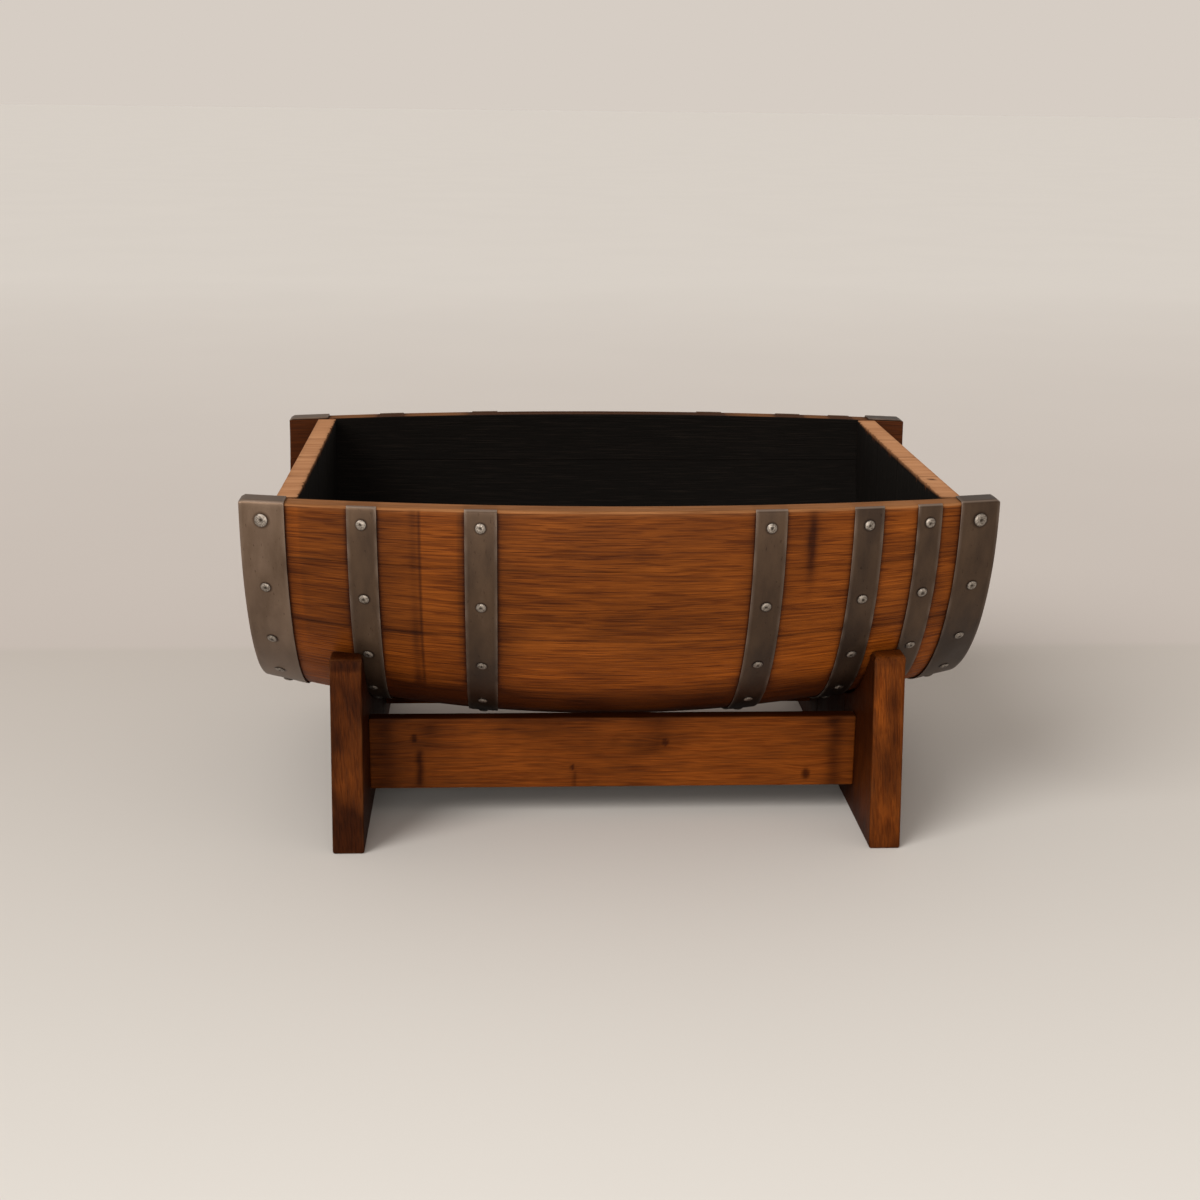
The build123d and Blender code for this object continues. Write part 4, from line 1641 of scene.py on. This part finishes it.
@dataclass
class RailScrews:
    """Cross-recessed pan heads on the outer faces of the end frames.

    Attributes:
        radius: a head's radius.
        height: a head's height.
        slot_half: half the width of the recess's arms.
        slot_depth: depth of the recess.
        seat: space between a head and the frame.
        around: points round a head.
    """

    radius: float = 6.5 * MM
    height: float = 3.8 * MM
    slot_half: float = 0.9 * MM
    slot_depth: float = 1.8 * MM
    seat: float = 0.05 * MM
    around: int = 48

    def build(self, side: Side, finish: bpy.types.Material) -> None:
        """Makes the four screw heads of one end frame as one piece.

        Args:
            side: the barrel's end.
            finish: their material.
        """
        name = side.name.lower()
        node = name + "_rail_screws"
        low, high = (np.array(c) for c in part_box(node))
        frame_low, frame_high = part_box(name + "_frame_front_board")
        face = float(frame_low[0] if side is Side.LEFT else frame_high[0])
        points, quads, grime = self.head()
        heads = []
        for y in (low[1] + self.radius, high[1] - self.radius):
            for z in (low[2] + self.radius, high[2] - self.radius):
                x = face + side.value * (points[:, 2] + self.seat)
                heads.append((np.stack([x, y + points[:, 0], z + points[:, 1]], axis=-1), quads, grime))
        piece = make_mesh(name + "_screw_heads", *gathered(heads))
        settle(piece, Body.CRADLE, node, finish)

    def head(self) -> Head:
        """One head about Z: a domed profile turned round, with two crossed slots pressed in."""
        share = np.linspace(0.97, 0.004, 22)
        base = np.array([0.004, 0.98, 1.0])
        dome = 0.45 + 0.55 * np.sqrt(np.maximum(1 - share ** 2, 0))
        up = np.concatenate([[0, 0, 0.1], dome]) * self.height
        r, x, y, z, quads = turned_head(np.concatenate([base, share]) * self.radius, up, self.around)
        arm = np.minimum(np.abs(x), np.abs(y))
        recess = 1 - smooth(arm, 0.6 * self.slot_half, self.slot_half)
        recess *= (1 - smooth(r / self.radius, 0.5, 0.6)) * (np.arange(len(up)) >= len(base))[:, None]
        points = np.stack([x, y, z - self.slot_depth * recess], axis=-1)
        return points.reshape(-1, 3), quads, (0.8 * recess).ravel()


# ---------------------------------------------------------------------------------------
# Studio
# ---------------------------------------------------------------------------------------
@dataclass(frozen=True)
class Camera:
    """Where the object is seen from.

    Attributes:
        place: the lens, in metres.
        pitch: degrees that it looks down.
        yaw: degrees that it looks to the right of +Y.
        roll: degrees that its right side is raised.
        lens_mm: focal length.
        sensor_mm: width of the sensor.
    """

    place: tuple[float, float, float] = (-0.1528, -2.5197, 0.9567)
    pitch: float = 15.58
    yaw: float = 3.23
    roll: float = 0.70
    lens_mm: float = 54.79
    sensor_mm: float = 36.0

    def build(self) -> None:
        """Makes the camera from its forward, right and up directions."""
        pitch, yaw, roll = (math.radians(a) for a in (self.pitch, self.yaw, self.roll))
        ahead = Vector((math.sin(yaw) * math.cos(pitch), math.cos(yaw) * math.cos(pitch), -math.sin(pitch)))
        level = Vector((math.cos(yaw), -math.sin(yaw), 0))
        above = level.cross(ahead)
        right = level * math.cos(roll) + above * math.sin(roll)
        up = above * math.cos(roll) - level * math.sin(roll)
        data = bpy.data.cameras.new("camera")
        data.sensor_width = self.sensor_mm
        data.lens = self.lens_mm
        camera = bpy.data.objects.new("camera", data)
        bpy.context.collection.objects.link(camera)
        axes = Matrix((right, up, -ahead)).transposed().to_4x4()
        camera.matrix_world = Matrix.Translation(self.place) @ axes
        bpy.context.scene.camera = camera


@dataclass(frozen=True)
class Studio:
    """Pale floor, an even warm surround, a wide soft key from the front left and a low fill."""

    floor_half: float = 90.0
    surround: str = "#d6cdc4"
    ceiling: float = 0.8
    ceiling_from: float = 0.06
    ceiling_at: float = 0.55
    key_from: tuple[float, float, float] = (-2.5, -2.3, 2.9)
    key_strength: float = 2.05
    key_spread: float = 34.0
    fill_from: tuple[float, float, float] = (-0.3, -3.7, 0.6)
    fill_size: float = 2.2
    fill_power: float = 62.0
    warm_white: tuple[float, float, float] = (1.0, 0.97, 0.93)
    aim: tuple[float, float, float] = (0.0, 0.0, 0.25)

    def build(self) -> None:
        """Makes the floor, the lamps and the surround."""
        half = self.floor_half
        corners = [(-half, -half, 0), (half, -half, 0), (half, half, 0), (-half, half, 0)]
        mesh = bpy.data.meshes.new("floor")
        mesh.from_pydata(corners, [], [(0, 1, 2, 3)])
        floor = bpy.data.objects.new("floor", mesh)
        floor.data.materials.append(StudioFloor().material())
        bpy.context.collection.objects.link(floor)
        floor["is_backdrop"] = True
        key = self.lamp("key", "SUN", self.key_from, self.key_strength)
        key.angle = math.radians(self.key_spread)
        fill = self.lamp("fill", "AREA", self.fill_from, self.fill_power)
        fill.shape = "DISK"
        fill.size = self.fill_size
        self.surround_light()
        bpy.context.scene.view_settings.view_transform = "Standard"

    def surround_light(self) -> None:
        """Makes the surround: bright round the horizon, dimmer overhead, by the height Z of
        each direction."""
        world = bpy.data.worlds.new("surround")
        world.use_nodes = True
        tree = world.node_tree
        background = tree.nodes["Background"]
        background.inputs["Color"].default_value = linear(self.surround)
        way = add(tree, "ShaderNodeTexCoord").outputs["Generated"]
        parts = add(tree, "ShaderNodeSeparateXYZ", links={0: way})
        strength = add(tree, "ShaderNodeMapRange",
                       {"From Min": self.ceiling_from, "From Max": self.ceiling_at,
                        "To Min": 1.0, "To Max": self.ceiling}, {0: parts.outputs[2]})
        tree.links.new(strength.outputs[0], background.inputs["Strength"])
        bpy.context.scene.world = world

    def lamp(self, name: str, kind: str, place: tuple[float, float, float], energy: float) -> bpy.types.Light:
        """Makes one lamp at a place, turned towards the aim.

        Args:
            name: the lamp's name.
            kind: SUN or AREA.
            place: where it stands.
            energy: its strength in the kind's own unit.

        Returns:
            The lamp's data.
        """
        data = bpy.data.lights.new(name, kind)
        data.energy = energy
        data.color = self.warm_white
        holder = bpy.data.objects.new(name, data)
        holder.location = place
        holder.rotation_euler = (Vector(self.aim) - Vector(place)).to_track_quat("-Z", "Y").to_euler()
        holder.visible_camera = False
        bpy.context.collection.objects.link(holder)
        return data


STAINED_OAK = StainedTimber("stained_oak_staves", dark="#3f1b05", mid="#63320b", light="#824615")
HEAD_OAK = StainedTimber("stained_oak_heads", dark="#3a1a06", mid="#5a2c0e", light="#78441a",
                         pale="#bd8a62", pale_dark="#94633f")
STAINED_PINE = StainedTimber("stained_pine_cradle", dark="#42200a", mid="#5b2d0b", light="#723a10",
                             fibre_mm=1.8, fibre_stretch=24.0, band_mm=8.0, blotch_mm=60.0,
                             pore_tint=(0.76, 0.70, 0.64), sheen_level=0.04)


def dress_hidden(slots: dict[str, bpy.types.Material]) -> None:
    """Gives every node its slot's own finish, which shows on those that no piece stands for.

    Args:
        slots: the finish of each material slot.
    """
    by_node = {part["node"]: part["material_slot"] for part in frame["record"]["subparts"]}
    for name, node in frame["nodes"].items():
        finish = slots[by_node[name]]
        node.data.materials.clear()
        node.data.materials.append(finish)


def main(cad: tuple[list[float], list[float]]) -> None:
    """Builds every sub-assembly in order, then the studio.

    Args:
        cad: the frame's box, from before anything was built; not used.
    """
    logging.basicConfig(level=logging.INFO, format="%(message)s")
    oak = STAINED_OAK.material()
    head_oak = HEAD_OAK.material()
    pine = STAINED_PINE.material()
    hoop_steel = HotRolledSteel().material()
    nail_steel = BrightSteel("domed_nail_steel").material()
    screw_steel = BrightSteel("zinc_plated_steel", bright="#b3b0aa", dull="#7d7a74").material()
    beech = TurnedBeech().material()
    shape = BarrelShape()
    Staves(shape).build(oak)
    Hoops(shape).build(hoop_steel)
    Nails(shape).build(nail_steel)
    for side in Side:
        Heads(shape).build(side, head_oak)
        EndFrames(shape).build(side, pine)
        RailScrews().build(side, screw_steel)
    Rails().build(pine)
    dress_hidden({
        "stave_oak": oak, "head_oak": head_oak, "hoop_steel": hoop_steel, "nail_steel": nail_steel,
        "cradle_pine": pine, "dowel_beech": beech, "screw_steel": screw_steel,
    })
    Camera().build()
    Studio().build()


if __name__ == "__main__":
    main(tuple([float(v) for v in corner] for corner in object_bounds()))
